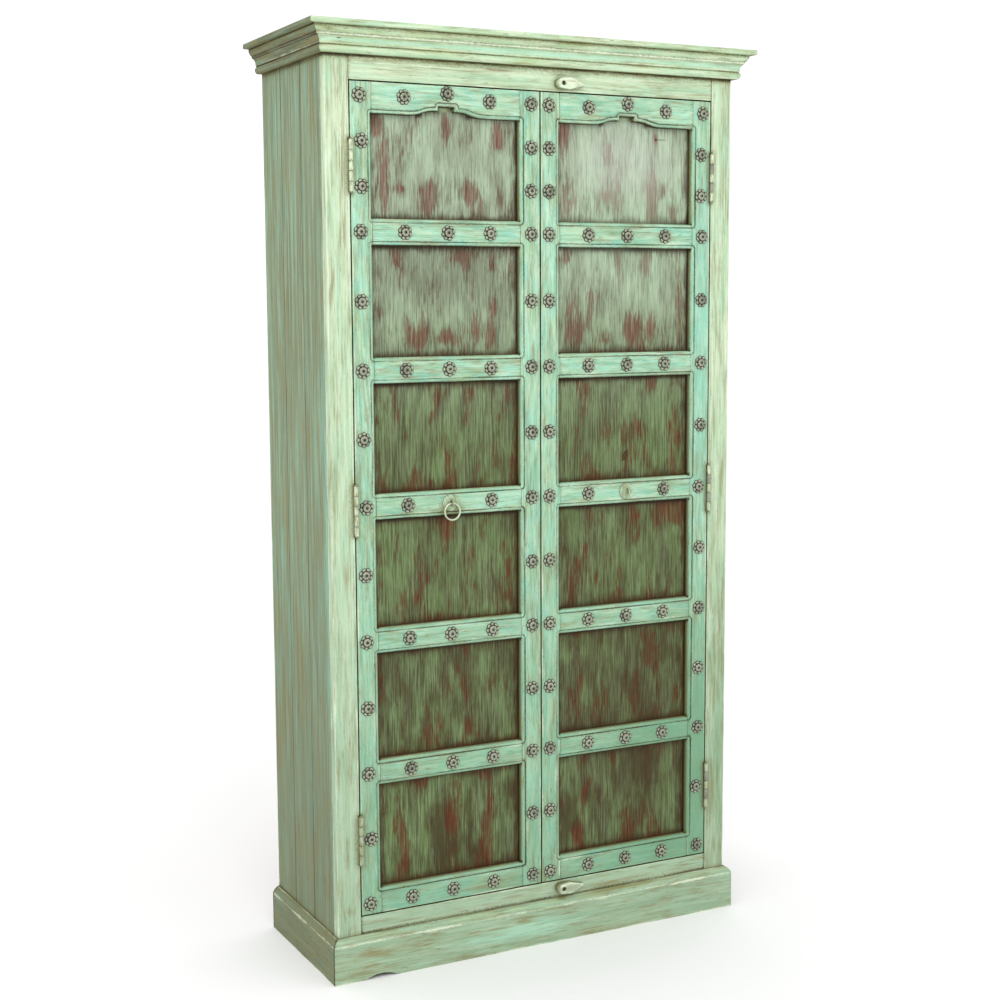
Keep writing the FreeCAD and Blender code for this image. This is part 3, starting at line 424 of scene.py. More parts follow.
# A mark is full up to this share of its half size, and fades out from there to its rim.
MARK_CORE = 0.35


class Mark(NamedTuple):
    """One spot or stroke: its colour, its middle in metres and half its sizes in millimetres.

    It hides a share of what is under it, and a ragged one is broken up into strokes along the grain.
    """
    tone: str
    place: tuple
    half_size: tuple
    share: float
    ragged: float = 0.0


def add(tree, kind, inputs=None, **settings):
    """Add one shader node with its settings, and give its inputs a value or a link."""
    node = tree.nodes.new("ShaderNode" + kind)
    for name, value in settings.items():
        setattr(node, name, value)
    for socket, value in (inputs or {}).items():
        if isinstance(value, bpy.types.NodeSocket):
            tree.links.new(value, node.inputs[socket])
        else:
            node.inputs[socket].default_value = value
    return node


def new_material(name):
    """An empty material and its tree."""
    material = bpy.data.materials.new(name)
    material.use_nodes = True
    material.node_tree.nodes.clear()
    return material, material.node_tree


def show(tree, inputs):
    """Give the surface its shader."""
    shader = add(tree, "BsdfPrincipled", inputs)
    add(tree, "OutputMaterial", {"Surface": shader.outputs[0]})


def attribute(tree, name, output="Fac"):
    """One of the attributes that the pieces carry."""
    return add(tree, "Attribute", attribute_name=name).outputs[output]


def height_of(tree):
    """Height above the floor, in metres."""
    return add(tree, "SeparateXYZ", {0: add(tree, "TexCoord").outputs["Object"]}).outputs[2]


def between(tree, value, start, full, most=1.0):
    """A value as a soft mask, from nothing at the start to the most that it may be at full."""
    return add(tree, "MapRange", {"Value": value, "From Min": start, "From Max": full, "To Max": most},
               interpolation_type="SMOOTHSTEP").outputs[0]


def pattern(tree, grain, along, across, low, high, seed=0.0, detail=3.0):
    """Cloudy patches of about the given millimetres, cut off softly between two noise values."""
    scale = (1 / (along * MM), 1 / (across * MM), 1 / (across * MM))
    place = add(tree, "Mapping", {"Vector": grain, "Location": (seed, seed, seed), "Scale": scale})
    cloud = add(tree, "TexNoise", {"Vector": place.outputs[0], "Scale": 1.0, "Detail": detail,
                                   "Roughness": CLOUD_ROUGHNESS})
    return between(tree, cloud.outputs[0], low, high)


def sum_of(tree, first, share, second=0.0):
    """One value times a share or another value, plus a third."""
    return add(tree, "Math", {0: first, 1: share, 2: second}, operation="MULTIPLY_ADD").outputs[0]


def coat(tree, under, over, mask, share=1.0):
    """A share of one colour over another where the mask is full. Both are sockets or names of paints."""
    under, over = [paint(tone) if isinstance(tone, str) else tone for tone in (under, over)]
    if share < 1:
        mask = sum_of(tree, mask, share)
    return add(tree, "Mix", {0: mask, 6: under, 7: over}, data_type="RGBA").outputs[2]


def bumped(tree, height, depth):
    """Surface normals for a relief of the given depth in millimetres."""
    return add(tree, "Bump", {"Height": height, "Distance": depth * MM,
                              "Strength": BUMP_STRENGTH}).outputs[0]


def marked(tree, grain, surface, marks):
    """A surface with spots and strokes on it."""
    where = add(tree, "TexCoord").outputs["Object"]
    strokes = pattern(tree, grain, 60, 4, 0.25, 0.75, seed=41.3, detail=6.0)
    for mark in marks:
        scale = [part * MM for part in mark.half_size]
        spot = add(tree, "Mapping", {"Vector": where, "Location": mark.place, "Scale": scale},
                   vector_type="TEXTURE").outputs[0]
        away = add(tree, "VectorMath", {0: spot}, operation="LENGTH").outputs["Value"]
        away = sum_of(tree, strokes, mark.ragged, away)
        surface = coat(tree, surface, mark.tone, between(tree, away, 1.0, MARK_CORE, mark.share))
    return surface


def bare_grain(tree, grain):
    """Colour of an unpainted, aged board: brown, with dark lines along the grain."""
    lines = pattern(tree, grain, 120, 2.5, 0.35, 0.7, seed=2.3)
    bands = pattern(tree, grain, 300, 26, 0.35, 0.65, seed=6.1)
    brown = coat(tree, "wood", "wood_dark", lines, 0.55)
    return coat(tree, brown, "wood_dark", bands, 0.45)


def distressed_paint(name, main, coats, streaks=0.6, scuffs=0.5, rubbed=0.8, foot="sage_dark", stroke=1.0,
                     marks=()):
    """Chalk paint brushed over wood in several coats and rubbed back by hand.

    Matt and streaky along the grain, pale where edges are rubbed to the undercoat, brown where the wood
    shows through, olive with painted shade and some dirt in the corners, and dark where wax, dirt and
    painted shade stay in the crevices. Painted shade darkens it towards the foot. Each further coat is a
    colour, its patches' length and width in millimetres, and its share.
    Brush strokes are longer or shorter by the factor stroke.
    """
    material, tree = new_material(name)
    grain = attribute(tree, "grain", "Vector")
    brush = pattern(tree, grain, 60 * stroke, 2.8, 0.38, 0.64, seed=7.7, detail=5.0)
    cluster = pattern(tree, grain, 130, 24, 0.42, 0.68, seed=29.3)
    stretch = pattern(tree, grain, 90, 30, 0.4, 0.7, seed=37.1)
    thin = pattern(tree, grain, 70 * stroke, 9, 0.55, 0.7, seed=11.3, detail=7.0)
    scratch = pattern(tree, grain, 22 * stroke, 2.4, 0.6, 0.7, seed=23.9, detail=5.0)
    grit = pattern(tree, grain, 6, 2.2, 0.3, 0.7, seed=17.9)

    surface = main
    for number, (tone, along, across, share) in enumerate(coats):
        patches = pattern(tree, grain, along, across, 0.4, 0.64, seed=3.1 * number, detail=6.0)
        surface = coat(tree, surface, tone, patches, share)
    # Painted shade: darker towards the foot, as if lit from above.
    surface = coat(tree, surface, foot, between(tree, height_of(tree), start=1.4, full=-0.1, most=0.6))
    lines = sum_of(tree, brush, cluster)
    surface = coat(tree, surface, "scuff", lines, streaks)
    rubbing = sum_of(tree, grit, 0.4, sum_of(tree, stretch, 0.6, attribute(tree, "wear")))
    edge = between(tree, rubbing, start=0.8, full=1.6, most=rubbed)
    surface = coat(tree, surface, "cream", edge)
    surface = coat(tree, surface, "scuff", thin, scuffs)
    surface = coat(tree, surface, "wood_dark", scratch, scuffs)
    if marks:
        surface = marked(tree, grain, surface, marks)
    # Olive halo: painted shade, with some dirt, in corners, round the studs and deep in mouldings.
    halo = sum_of(tree, grit, 0.3, attribute(tree, "halo"))
    surface = coat(tree, surface, "olive", between(tree, halo, start=0.2, full=0.95, most=0.8))
    # Umber, then grime: dirt and painted shade in crevices and under mouldings.
    dirt_and_shade = sum_of(tree, grit, 0.25, attribute(tree, "dirt_and_shade"))
    surface = coat(tree, surface, "umber", between(tree, dirt_and_shade, start=0.15, full=0.7, most=0.7))
    surface = coat(tree, surface, "grime", between(tree, dirt_and_shade, start=0.6, full=1.15, most=0.9))
    surface = coat(tree, surface, bare_grain(tree, grain), attribute(tree, "bare"))
    relief = sum_of(tree, thin, -0.6, sum_of(tree, lines, -0.5, edge))
    show(tree, {"Base Color": surface, "Roughness": 0.72, "Specular IOR Level": CHALK_SHINE,
                "Normal": bumped(tree, relief, 0.25)})
    return material


def washed_panel(name, marks):
    """Thin green wash over red-brown boards, wiped off in streaks.

    Dull and streaked from top to bottom, with patches of bare wood that end in ragged brush lines and with
    dark wax and painted shade round the rim. Grey green at the top and olive from the middle down.
    """
    material, tree = new_material(name)
    grain = attribute(tree, "grain", "Vector")
    height = height_of(tree)
    low_down = between(tree, height, start=1.56, full=1.04)
    fine = pattern(tree, grain, 70, 2.4, 0.36, 0.64, seed=1.9, detail=4.0)
    dark_lines = pattern(tree, grain, 60, 2.2, 0.52, 0.66, seed=21.7, detail=4.0)
    broad = pattern(tree, grain, 60, 12, 0.44, 0.68, seed=5.3, detail=5.0)
    cloud = pattern(tree, grain, 120, 40, 0.4, 0.6, seed=8.9, detail=5.0)
    ragged = pattern(tree, grain, 30, 4.0, 0.25, 0.75, seed=13.7, detail=6.0)

    high_wash = coat(tree, "panel_grey", "cream_mint", cloud, 0.4)
    high_wash = coat(tree, high_wash, "cream", fine, 0.2)
    low_wash = coat(tree, "panel_olive", "moss", cloud, 0.8)
    low_wash = coat(tree, low_wash, "lime", fine, 0.26)
    wash = coat(tree, high_wash, low_wash, low_down)
    shade = pattern(tree, grain, 150, 60, 0.44, 0.62, seed=33.1, detail=6.0)
    shade = sum_of(tree, shade, between(tree, height, start=1.25, full=0.2, most=0.75))
    wash = coat(tree, wash, "umber", shade)
    wash = coat(tree, wash, "umber", broad, 0.2)
    bare = coat(tree, "red_wood", "rust_wood", low_down)
    bare = coat(tree, bare, "umber", broad, 0.5)
    bare = coat(tree, bare, wash, fine, 0.4)
    rubbed = sum_of(tree, ragged, 0.8, attribute(tree, "stain"))
    worn = between(tree, rubbed, start=0.58, full=1.04, most=0.88)
    surface = coat(tree, wash, "umber", between(tree, rubbed, start=0.3, full=0.85, most=0.3))
    surface = coat(tree, surface, bare, worn)
    surface = coat(tree, surface, "umber", dark_lines, 0.52)
    # Wax with painted shade round the rim, darker beside the frame.
    rim = sum_of(tree, ragged, 0.4, attribute(tree, "rim"))
    wax_and_shade = coat(tree, "umber", "rust_wood", cloud, 0.35)
    surface = coat(tree, surface, wax_and_shade, between(tree, rim, start=0.35, full=1.3, most=0.85))
    surface = marked(tree, grain, surface, marks)
    # Grime: dirt and painted shade in the crevices.
    dark = between(tree, attribute(tree, "dirt_and_shade"), start=0.1, full=0.8, most=0.9)
    surface = coat(tree, surface, "grime", dark)
    surface = coat(tree, surface, bare_grain(tree, grain), attribute(tree, "bare"))
    relief = sum_of(tree, worn, -0.7, sum_of(tree, fine, 0.5))
    show(tree, {"Base Color": surface, "Roughness": 0.62, "Specular IOR Level": CHALK_SHINE,
                "Normal": bumped(tree, relief, 0.2)})
    return material


def aged_board(name):
    """Unpainted mango wood, planed by hand and darkened by age: dull brown with fine dark grain lines."""
    material, tree = new_material(name)
    grain = attribute(tree, "grain", "Vector")
    surface = bare_grain(tree, grain)
    pale = pattern(tree, grain, 200, 30, 0.5, 0.8, seed=9.2)
    surface = coat(tree, surface, "scuff", pale, 0.5)
    # Grime: dirt and painted shade in the crevices.
    dark = between(tree, attribute(tree, "dirt_and_shade"), start=0.15, full=1.0, most=0.8)
    surface = coat(tree, surface, "grime", dark)
    lines = pattern(tree, grain, 90, 1.8, 0.3, 0.7, seed=4.4)
    show(tree, {"Base Color": surface, "Roughness": 0.75, "Normal": bumped(tree, lines, 0.2)})
    return material


def worn_metal(name, hollow, bright, rough, source, start, full):
    """Cast or rolled metal, dark in its hollows and rubbed bright where hands and cloths reach it.

    It brightens from one value of the source attribute to another.
    """
    material, tree = new_material(name)
    place = add(tree, "TexCoord").outputs["Object"]
    grit = pattern(tree, place, 2.5, 2.5, 0.3, 0.75)
    patches = pattern(tree, place, 34, 34, 0.45, 0.65, seed=4.7)
    mask = between(tree, sum_of(tree, grit, 0.3, attribute(tree, source)), start, full)
    surface = coat(tree, hollow, bright, mask)
    surface = coat(tree, surface, hollow, patches, 0.4)
    show(tree, {"Base Color": surface, "Metallic": 0.7, "Roughness": rough,
                "Normal": bumped(tree, grit, 0.1)})
    return material


def shaded_worn_return_paint(name):
    """Paint of the mouldings' side returns, darker than the front as painted shade and rubbed further: grey
    green, much brown.
    """
    return distressed_paint(name, "sage_dark", (
        ("sage", 150, 20, 0.6), ("scuff", 110, 9, 0.6), ("umber", 130, 6, 0.35)),
        streaks=0.8, scuffs=0.8, rubbed=0.6)


# Operators

class CABINET_OT_stage(bpy.types.Operator):
    """Pale floor, soft studio light and the camera"""
    bl_idname = "cabinet.stage"
    bl_label = "Stage"

    # Where the camera stood, worked out from the cabinet's corners in the photograph.
    CAMERA_PLACE = (-1.65294, -3.17861, 1.36994)
    YAW = math.radians(27.25)
    PITCH = math.radians(6.82)
    ROLL = math.radians(-0.29)
    FOCAL_PIXELS = 1663.2
    PICTURE_WIDTH = 1000
    SENSOR_WIDTH = 36.0
    FLOOR_RADIUS = 40.0
    FLOOR_SEGMENTS = 96
    FLOOR_COLOUR = (0.92, 0.92, 0.92, 1)
    SKY_COLOUR = (1, 1, 1, 1)
    SKY_STRENGTH = 1.12
    # Name, place and width of each lamp in metres, and its watts. Both point at the middle of the cabinet.
    LAMPS = (("key", (-1.4, -3.0, 3.2), 2.0, 36),
             ("fill", (2.4, -3.0, 2.6), 2.4, 5))
    LAMP_AIM = Vector((0, 0, 1.0))

    def execute(self, context):
        self.make_floor()
        self.make_light(context.scene)
        self.make_camera(context.scene)
        return {"FINISHED"}

    def make_floor(self):
        bm = bmesh.new()
        bmesh.ops.create_circle(bm, cap_ends=True, segments=self.FLOOR_SEGMENTS, radius=self.FLOOR_RADIUS)
        material, tree = new_material("matt white studio floor")
        show(tree, {"Base Color": self.FLOOR_COLOUR, "Roughness": 1.0})
        floor = new_object(bm, "floor", material)

    def make_light(self, scene):
        world = bpy.data.worlds.new("studio")
        scene.world = world
        world.use_nodes = True
        sky = world.node_tree.nodes["Background"]
        sky.inputs["Color"].default_value = self.SKY_COLOUR
        sky.inputs["Strength"].default_value = self.SKY_STRENGTH
        for name, place, size, power in self.LAMPS:
            light = bpy.data.lights.new(name, "AREA")
            light.size = size
            light.energy = power
            lamp = bpy.data.objects.new(name, light)
            lamp.location = place
            aim = self.LAMP_AIM - Vector(place)
            lamp.rotation_euler = aim.to_track_quat("-Z", "Y").to_euler()
            scene.collection.objects.link(lamp)

    def make_camera(self, scene):
        data = bpy.data.cameras.new("camera")
        data.sensor_width = self.SENSOR_WIDTH
        data.lens = data.sensor_width * self.FOCAL_PIXELS / self.PICTURE_WIDTH
        camera = bpy.data.objects.new("camera", data)
        turn = (Matrix.Rotation(-self.YAW, 4, "Z") @ Matrix.Rotation(math.pi / 2 - self.PITCH, 4, "X")
                @ Matrix.Rotation(self.ROLL, 4, "Z"))
        camera.matrix_world = Matrix.Translation(self.CAMERA_PLACE) @ turn
        scene.collection.objects.link(camera)
        scene.camera = camera
        scene.view_settings.view_transform = "Standard"


class CABINET_OT_face_frame(bpy.types.Operator):
    """Uprights and rails round the doors"""
    bl_idname = "cabinet.face_frame"
    bl_label = "Face frame"

    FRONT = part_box("frame_top_rail")[0][Y]
    # A reddish smudge on the top rail, brown scratches low on the left upright, painted shade on the right
    # upright towards its foot, and wood that shows on the bottom rail beside the turn button and near the
    # left upright.
    MARKS = (Mark("red_wood", (-0.1023, FRONT, 1.8279), (60, 10, 5), 0.6, ragged=0.5),
             Mark("scuff", (-0.4425, FRONT, 0.145), (24, 10, 30), 0.7, ragged=0.9),
             Mark("moss", (0.5, FRONT, 0.4), (160, 100, 900), 0.42, ragged=0.5),
             Mark("scuff", (0.17, FRONT, 0.104), (130, 10, 12), 0.8, ragged=0.7),
             Mark("scuff", (-0.36, FRONT, 0.113), (70, 10, 9), 0.7, ragged=0.7))

    def execute(self, context):
        material = distressed_paint("cream mint chalk paint", "cream_mint", (
            ("cream", 260, 30, 0.7), ("mint", 150, 14, 0.6), ("lime", 70, 20, 0.4), ("scuff", 200, 4, 0.25),
            ("cream", 160, 6, 0.4)),
            streaks=0.75, foot="sage", stroke=1.5, marks=self.MARKS)
        for side in SIDES:
            worn_board(f"{side}_frame_stile", Z, sizes().door_step, material, INWARD)
        for rail in ("frame_top_rail", "frame_bottom_rail"):
            worn_board(rail, X, sizes().door_step, material, INWARD)
        return {"FINISHED"}


class CABINET_OT_sides(bpy.types.Operator):
    """Planked sides"""
    bl_idname = "cabinet.sides"
    bl_label = "Sides"

    # A turquoise strip along the left side's front edge, and darker towards the foot.
    MARKS = (Mark("turquoise", (-0.468, -0.14, 0.9), (40, 34, 1100), 0.6, ragged=0.5),
             Mark("umber", (0, 0, 0.2), (1200, 500, 1100), 0.12, ragged=0.2))

    def execute(self, context):
        # The sides' paint is darker than the front's, partly as painted shade.
        material = distressed_paint("sage chalk paint", "sage", (
            ("sage_dark", 260, 14, 0.85), ("turquoise", 260, 26, 0.3), ("scuff", 240, 7, 0.6),
            ("cream_mint", 300, 5, 0.3), ("umber", 320, 4, 0.32)),
            streaks=0.8, scuffs=0.8, rubbed=0.5, stroke=3.0, marks=self.MARKS)
        for side, inward in zip(SIDES, (Vector((1, 0, 0)), Vector((-1, 0, 0)))):
            worn_board(f"{side}_side_planks", Z, sizes().board_step, material, inward)
        return {"FINISHED"}


class CABINET_OT_inner_boards(bpy.types.Operator):
    """Back, top, floor, shelves, cleats and door stops"""
    bl_idname = "cabinet.inner_boards"
    bl_label = "Inner boards"

    def execute(self, context):
        material = aged_board("aged mango wood")
        worn_board("back_boards", Z, sizes().hidden_step, material)
        for node in ("top_board", "floor_board", "lower_shelf", "middle_shelf", "upper_shelf",
                     "top_door_stop", "bottom_door_stop"):
            worn_board(node, X, sizes().hidden_step, material)
        for side in SIDES:
            worn_board(f"{side}_shelf_cleats", Y, sizes().hidden_step, material)
        return {"FINISHED"}


class CABINET_OT_plinth(bpy.types.Operator):
    """Plinth lengths"""
    bl_idname = "cabinet.plinth"
    bl_label = "Plinth"

    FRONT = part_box("plinth_front")[0][Y]
    UPPER_EDGE = FRONT + 5 * MM
    # Wood rubbed bare to the right of the left corner, cleaner paint in the middle, and along the rounded
    # upper edge yellowed paint that is partly wear and partly a painted highlight where it faces up, with
    # bare wood.
    MARKS = (Mark("scuff", (-0.40, FRONT, 0.052), (110, 40, 26), 0.8, ragged=0.7),
             Mark("mint_light", (-0.05, FRONT, 0.04), (260, 40, 34), 0.55, ragged=0.5),
             Mark("lime", (0, UPPER_EDGE, 0.088), (1500, 40, 12), 0.6, ragged=1.1),
             Mark("olive", (0.2, UPPER_EDGE, 0.09), (300, 40, 9), 0.75, ragged=0.8))

    # The chip's middle and half width along X, its rise, and the height up to which the board follows it.
    CHIP_MIDDLE = -0.380
    CHIP_HALF = 36 * MM
    CHIP_RISE = 9 * MM
    CHIP_FADE = 40 * MM
    # The rounded upper edge is worn as sharp ones are.
    ROUNDED = math.radians(12)

    def execute(self, context):
        material = distressed_paint("sage plinth paint", "cream_mint", (
            ("lime", 220, 40, 0.7), ("mint", 120, 30, 0.6), ("scuff", 140, 10, 0.4),
            ("cream", 150, 8, 0.45), ("sage_dark", 170, 5, 0.4)),
            streaks=0.8, scuffs=0.6, foot="sage", marks=self.MARKS)
        worn_board("plinth_front", X, sizes().door_step, material, shape=self.chip, sharp=self.ROUNDED)
        material = shaded_worn_return_paint("shaded worn plinth return paint")
        for side in SIDES:
            worn_board(f"{side}_plinth", Y, sizes().door_step, material, joint=OPEN_JOINT_DIRT,
                       sharp=self.ROUNDED)
        return {"FINISHED"}

    def chip(self, bm):
        """Break a shallow arch out of the lower edge, left of the middle."""
        for vert in bm.verts:
            across = (vert.co.x - self.CHIP_MIDDLE) / self.CHIP_HALF
            rise = self.CHIP_RISE * max(1 - across * across, 0)
            if vert.co.z < self.CHIP_FADE:
                vert.co.z = rise + vert.co.z * (1 - rise / self.CHIP_FADE)


class CABINET_OT_cornice(bpy.types.Operator):
    """Cornice lengths"""
    bl_idname = "cabinet.cornice"
    bl_label = "Cornice"

    # Size of its small faces, and how much of the usual dirt and painted shade its front keeps in the
    # crevices.
    STEP = 4 * MM
    CREVICE = 0.5
    # The rubbed square band with a painted highlight, the pale hollow below it, and two nicks in the hollow,
    # near the left corner.
    MARKS = (Mark("cream", (0, -0.175, 1.873), (1500, 60, 3.2), 0.9, ragged=0.2),
             Mark("mint_light", (0, -0.17, 1.864), (1500, 60, 7), 0.6, ragged=0.3),
             Mark("grime", (-0.4423, -0.172, 1.8665), (7, 12, 1.5), 0.8),
             Mark("grime", (-0.4383, -0.172, 1.8605), (5, 12, 1.0), 0.6))

    def execute(self, context):
        material = distressed_paint("pale lime chalk paint", "lime", (
            ("cream_mint", 220, 30, 0.8), ("mint", 120, 20, 0.3), ("cream", 90, 9, 0.5)), scuffs=0.6,
            marks=self.MARKS)
        worn_board("cornice_front", X, self.STEP, material, crevice=self.CREVICE)
        material = shaded_worn_return_paint("shaded worn cornice return paint")
        for side in SIDES:
            worn_board(f"{side}_cornice", Y, self.STEP, material)
        return {"FINISHED"}


class CABINET_OT_door_frames(bpy.types.Operator):
    """Stiles and rails of both doors"""
    bl_idname = "cabinet.door_frames"
    bl_label = "Door frames"

    # The boards of a door, by the axis along which their grain runs.
    BOARDS = {Z: ("hinge_stile", "meeting_stile"),
              X: ("top_rail", "rail_2", "rail_3", "handle_rail", "rail_5", "rail_6", "bottom_rail")}
    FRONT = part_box("left_door_top_rail")[0][Y]
    # The right door has painted shade towards its lower hinge, and its hinge stile is bluer.
    MARKS = (Mark("mint_dark", (0.37, FRONT, 0.3), (420, 200, 640), 0.8, ragged=0.4),
             Mark("turquoise", (0.395, FRONT, 1.3), (50, 200, 700), 0.4, ragged=0.5))

    def execute(self, context):
        material = distressed_paint("mint chalk paint", "mint", (
            ("mint_light", 150, 45, 0.85), ("turquoise", 70, 28, 0.7), ("lime", 45, 22, 0.45),
            ("mint_dark", 80, 5, 0.45), ("cream", 60, 7, 0.3)),
            streaks=0.62, scuffs=0.55, foot="mint_dark", marks=self.MARKS)
        for side, (grain, boards) in itertools.product(SIDES, self.BOARDS.items()):
            for board in boards:
                worn_board(f"{side}_door_{board}", grain, sizes().door_step, material, INWARD,
                           face=self.FRONT)
        return {"FINISHED"}


class CABINET_OT_door_panels(bpy.types.Operator):
    """Washed panels of both doors"""
    bl_idname = "cabinet.door_panels"
    bl_label = "Door panels"

    # Front of the panels, and how far their middle lies from the cabinet's.
    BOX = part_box("right_door_panels")
    FRONT = BOX[0][Y]
    MIDDLE = (BOX[0][X] + BOX[1][X]) / 2
    # The right door's upper panels are paler and greyer with a painted sheen, its right top panel the most,
    # and its lower panels darker with painted shade; the left door's upper panels are browner with painted
    # shade. An old nail hole in the right top panel has a scratch beside it, with red wood round both. The
    # notches of the arches show clean, yellowed paint.
    MARKS = (Mark("cream_mint", (MIDDLE, FRONT, 1.55), (260, 60, 300), 0.18, ragged=0.3),
             Mark("umber", (-MIDDLE, FRONT, 1.62), (280, 60, 260), 0.12, ragged=0.3),
             Mark("umber", (-MIDDLE, FRONT, 1.45), (280, 60, 150), 0.36, ragged=0.3),
             Mark("umber", (0.25, FRONT, 0.45), (280, 60, 480), 0.4, ragged=0.4),
             Mark("ash", (MIDDLE, FRONT, 1.66), (230, 60, 130), 0.22, ragged=0.3),
             Mark("red_wood", (0.289, FRONT, 1.71), (13, 10, 28), 0.6, ragged=0.5),
             Mark("grime", (0.2899, FRONT, 1.7075), (4, 10, 4), 0.9),
             Mark("grime", (0.303, FRONT, 1.708), (16, 10, 1.6), 0.6),
             Mark("lime", (-MIDDLE, FRONT, 1.751), (20, 20, 14), 0.8, ragged=0.2),
             Mark("lime", (MIDDLE, FRONT, 1.751), (20, 20, 14), 0.8, ragged=0.2))

    # Part of a panel that is hidden in the grooves, and width of the rim of wax and painted shade beside it.
    TONGUE = 8 * MM
    RIM = 22 * MM
    # Where the two upper rows were wiped down to the wood, by door and row: millimetres from the panel's
    # lower left corner, and half the width and height of the patch.
    WIPED = {
        ("left", 1): ((176, 182, 11, 22), (289, 169, 13, 20), (24, 184, 14, 15), (40, 59, 13, 42),
                      (73, 64, 16, 7), (136, 42, 17, 20), (230, 57, 16, 12), (298, 55, 10, 20),
                      (254, 28, 9, 13)),
        ("right", 1): ((29, 187, 17, 23), (34, 46, 20, 28), (133, 147, 12, 20), (140, 54, 26, 28),
                       (136, 89, 10, 16), (242, 48, 14, 42), (295, 28, 11, 13), (267, 73, 12, 10)),
        ("left", 2): ((68, 196, 12, 13), (207, 203, 22, 11), (218, 177, 8, 26), (279, 190, 11, 15),
                      (78, 156, 8, 22), (234, 139, 6, 26), (277, 100, 9, 18), (241, 68, 13, 28),
                      (272, 47, 13, 24), (118, 47, 16, 17), (171, 44, 24, 11), (87, 47, 10, 20)),
        ("right", 2): ((30, 204, 12, 10), (161, 186, 10, 38), (230, 193, 11, 25), (38, 60, 14, 36),
                       (66, 51, 10, 18), (89, 87, 6, 25), (128, 33, 22, 11), (191, 53, 21, 29),
                       (241, 51, 11, 25), (314, 85, 9, 50)),
    }
    # Such a patch reaches further up than down, and bares less wood with each half size from its middle.
    REACH_UP = 1.7
    IN_THE_MIDDLE = 0.9
    SLOPE = 0.55
    MOST = 0.66
    # Noise bares broad patches and narrow streaks: its strength, its bumps to the metre across and up, and
    # its slice. It is weaker beside placed patches, and bares more in the lowest third and the top quarter.
    SMEARS = ((1.0, 26, 9, 0), (0.5, 62, 20, 5))
    BESIDE_PATCHES = 0.5
    LOW_DOWN = 0.22
    HIGH_UP = 0.1
    # Each panel starts elsewhere in the noise. The rim's bumps to the metre change its width by a share.
    PANEL_SHIFT = 31
    RIM_BUMPS = 30
    RIM_CHANGE = 1.2

    def execute(self, context):
        material = washed_panel("wiped green wash over red wood", self.MARKS)
        for side in SIDES:
            worn_board(f"{side}_door_panels", Z, sizes().panel_step, material, INWARD, self.stain)
        return {"FINISHED"}

    def stain(self, bm):
        """Where the wash was wiped off, in upright patches, most of them low, and the rim of wax and painted
        shade.
        """
        stain_layer = bm.verts.layers.float.new("stain")
        rim_layer = bm.verts.layers.float.new("rim")
        from_the_top = sorted(loose_parts(bm), key=lambda part: -corners(part)[0].z)
        for row, part in enumerate(from_the_top, 1):
            low, high = corners(part)
            shift = (low.x + low.z) * self.PANEL_SHIFT
            patches = self.WIPED.get(("left" if low.x < 0 else "right", row), ())
            chance = self.BESIDE_PATCHES if patches else 1.0
            for vert in part:
                place = vert.co
                up = (place.z - low.z) / (high.z - low.z)
                smear = self.LOW_DOWN * max(1 - up * 3, 0) + self.HIGH_UP * max(up * 4 - 3, 0)
                for strength, across, upward, cut in self.SMEARS:
                    spot = Vector((place.x * across + shift, cut, place.z * upward + shift))
                    smear += strength * noise.noise(spot)
                wiped = [self.wiped(place - low, *patch) for patch in patches]
                vert[stain_layer] = chance * smear + max(wiped, default=0)
                border = min(place.x - low.x, high.x - place.x, place.z - low.z, high.z - place.z)
                bump = noise.noise(Vector((place.x * self.RIM_BUMPS, shift, place.z * self.RIM_BUMPS)))
                width = self.RIM * (1 + self.RIM_CHANGE * bump)
                # The rim of wax and painted shade, wider or narrower with noise.
                vert[rim_layer] = max(1 - (border - self.TONGUE) / width, 0)

    def wiped(self, place, across, up, wide, tall):
        """How far one patch bares the wood at a place: most in its middle, and fading further upwards."""
        rise = place.z / MM - up
        reach = self.REACH_UP * tall if rise > 0 else tall
        away = math.hypot((place.x / MM - across) / wide, rise / reach)
        return min(max(self.IN_THE_MIDDLE - self.SLOPE * away, 0), self.MOST)


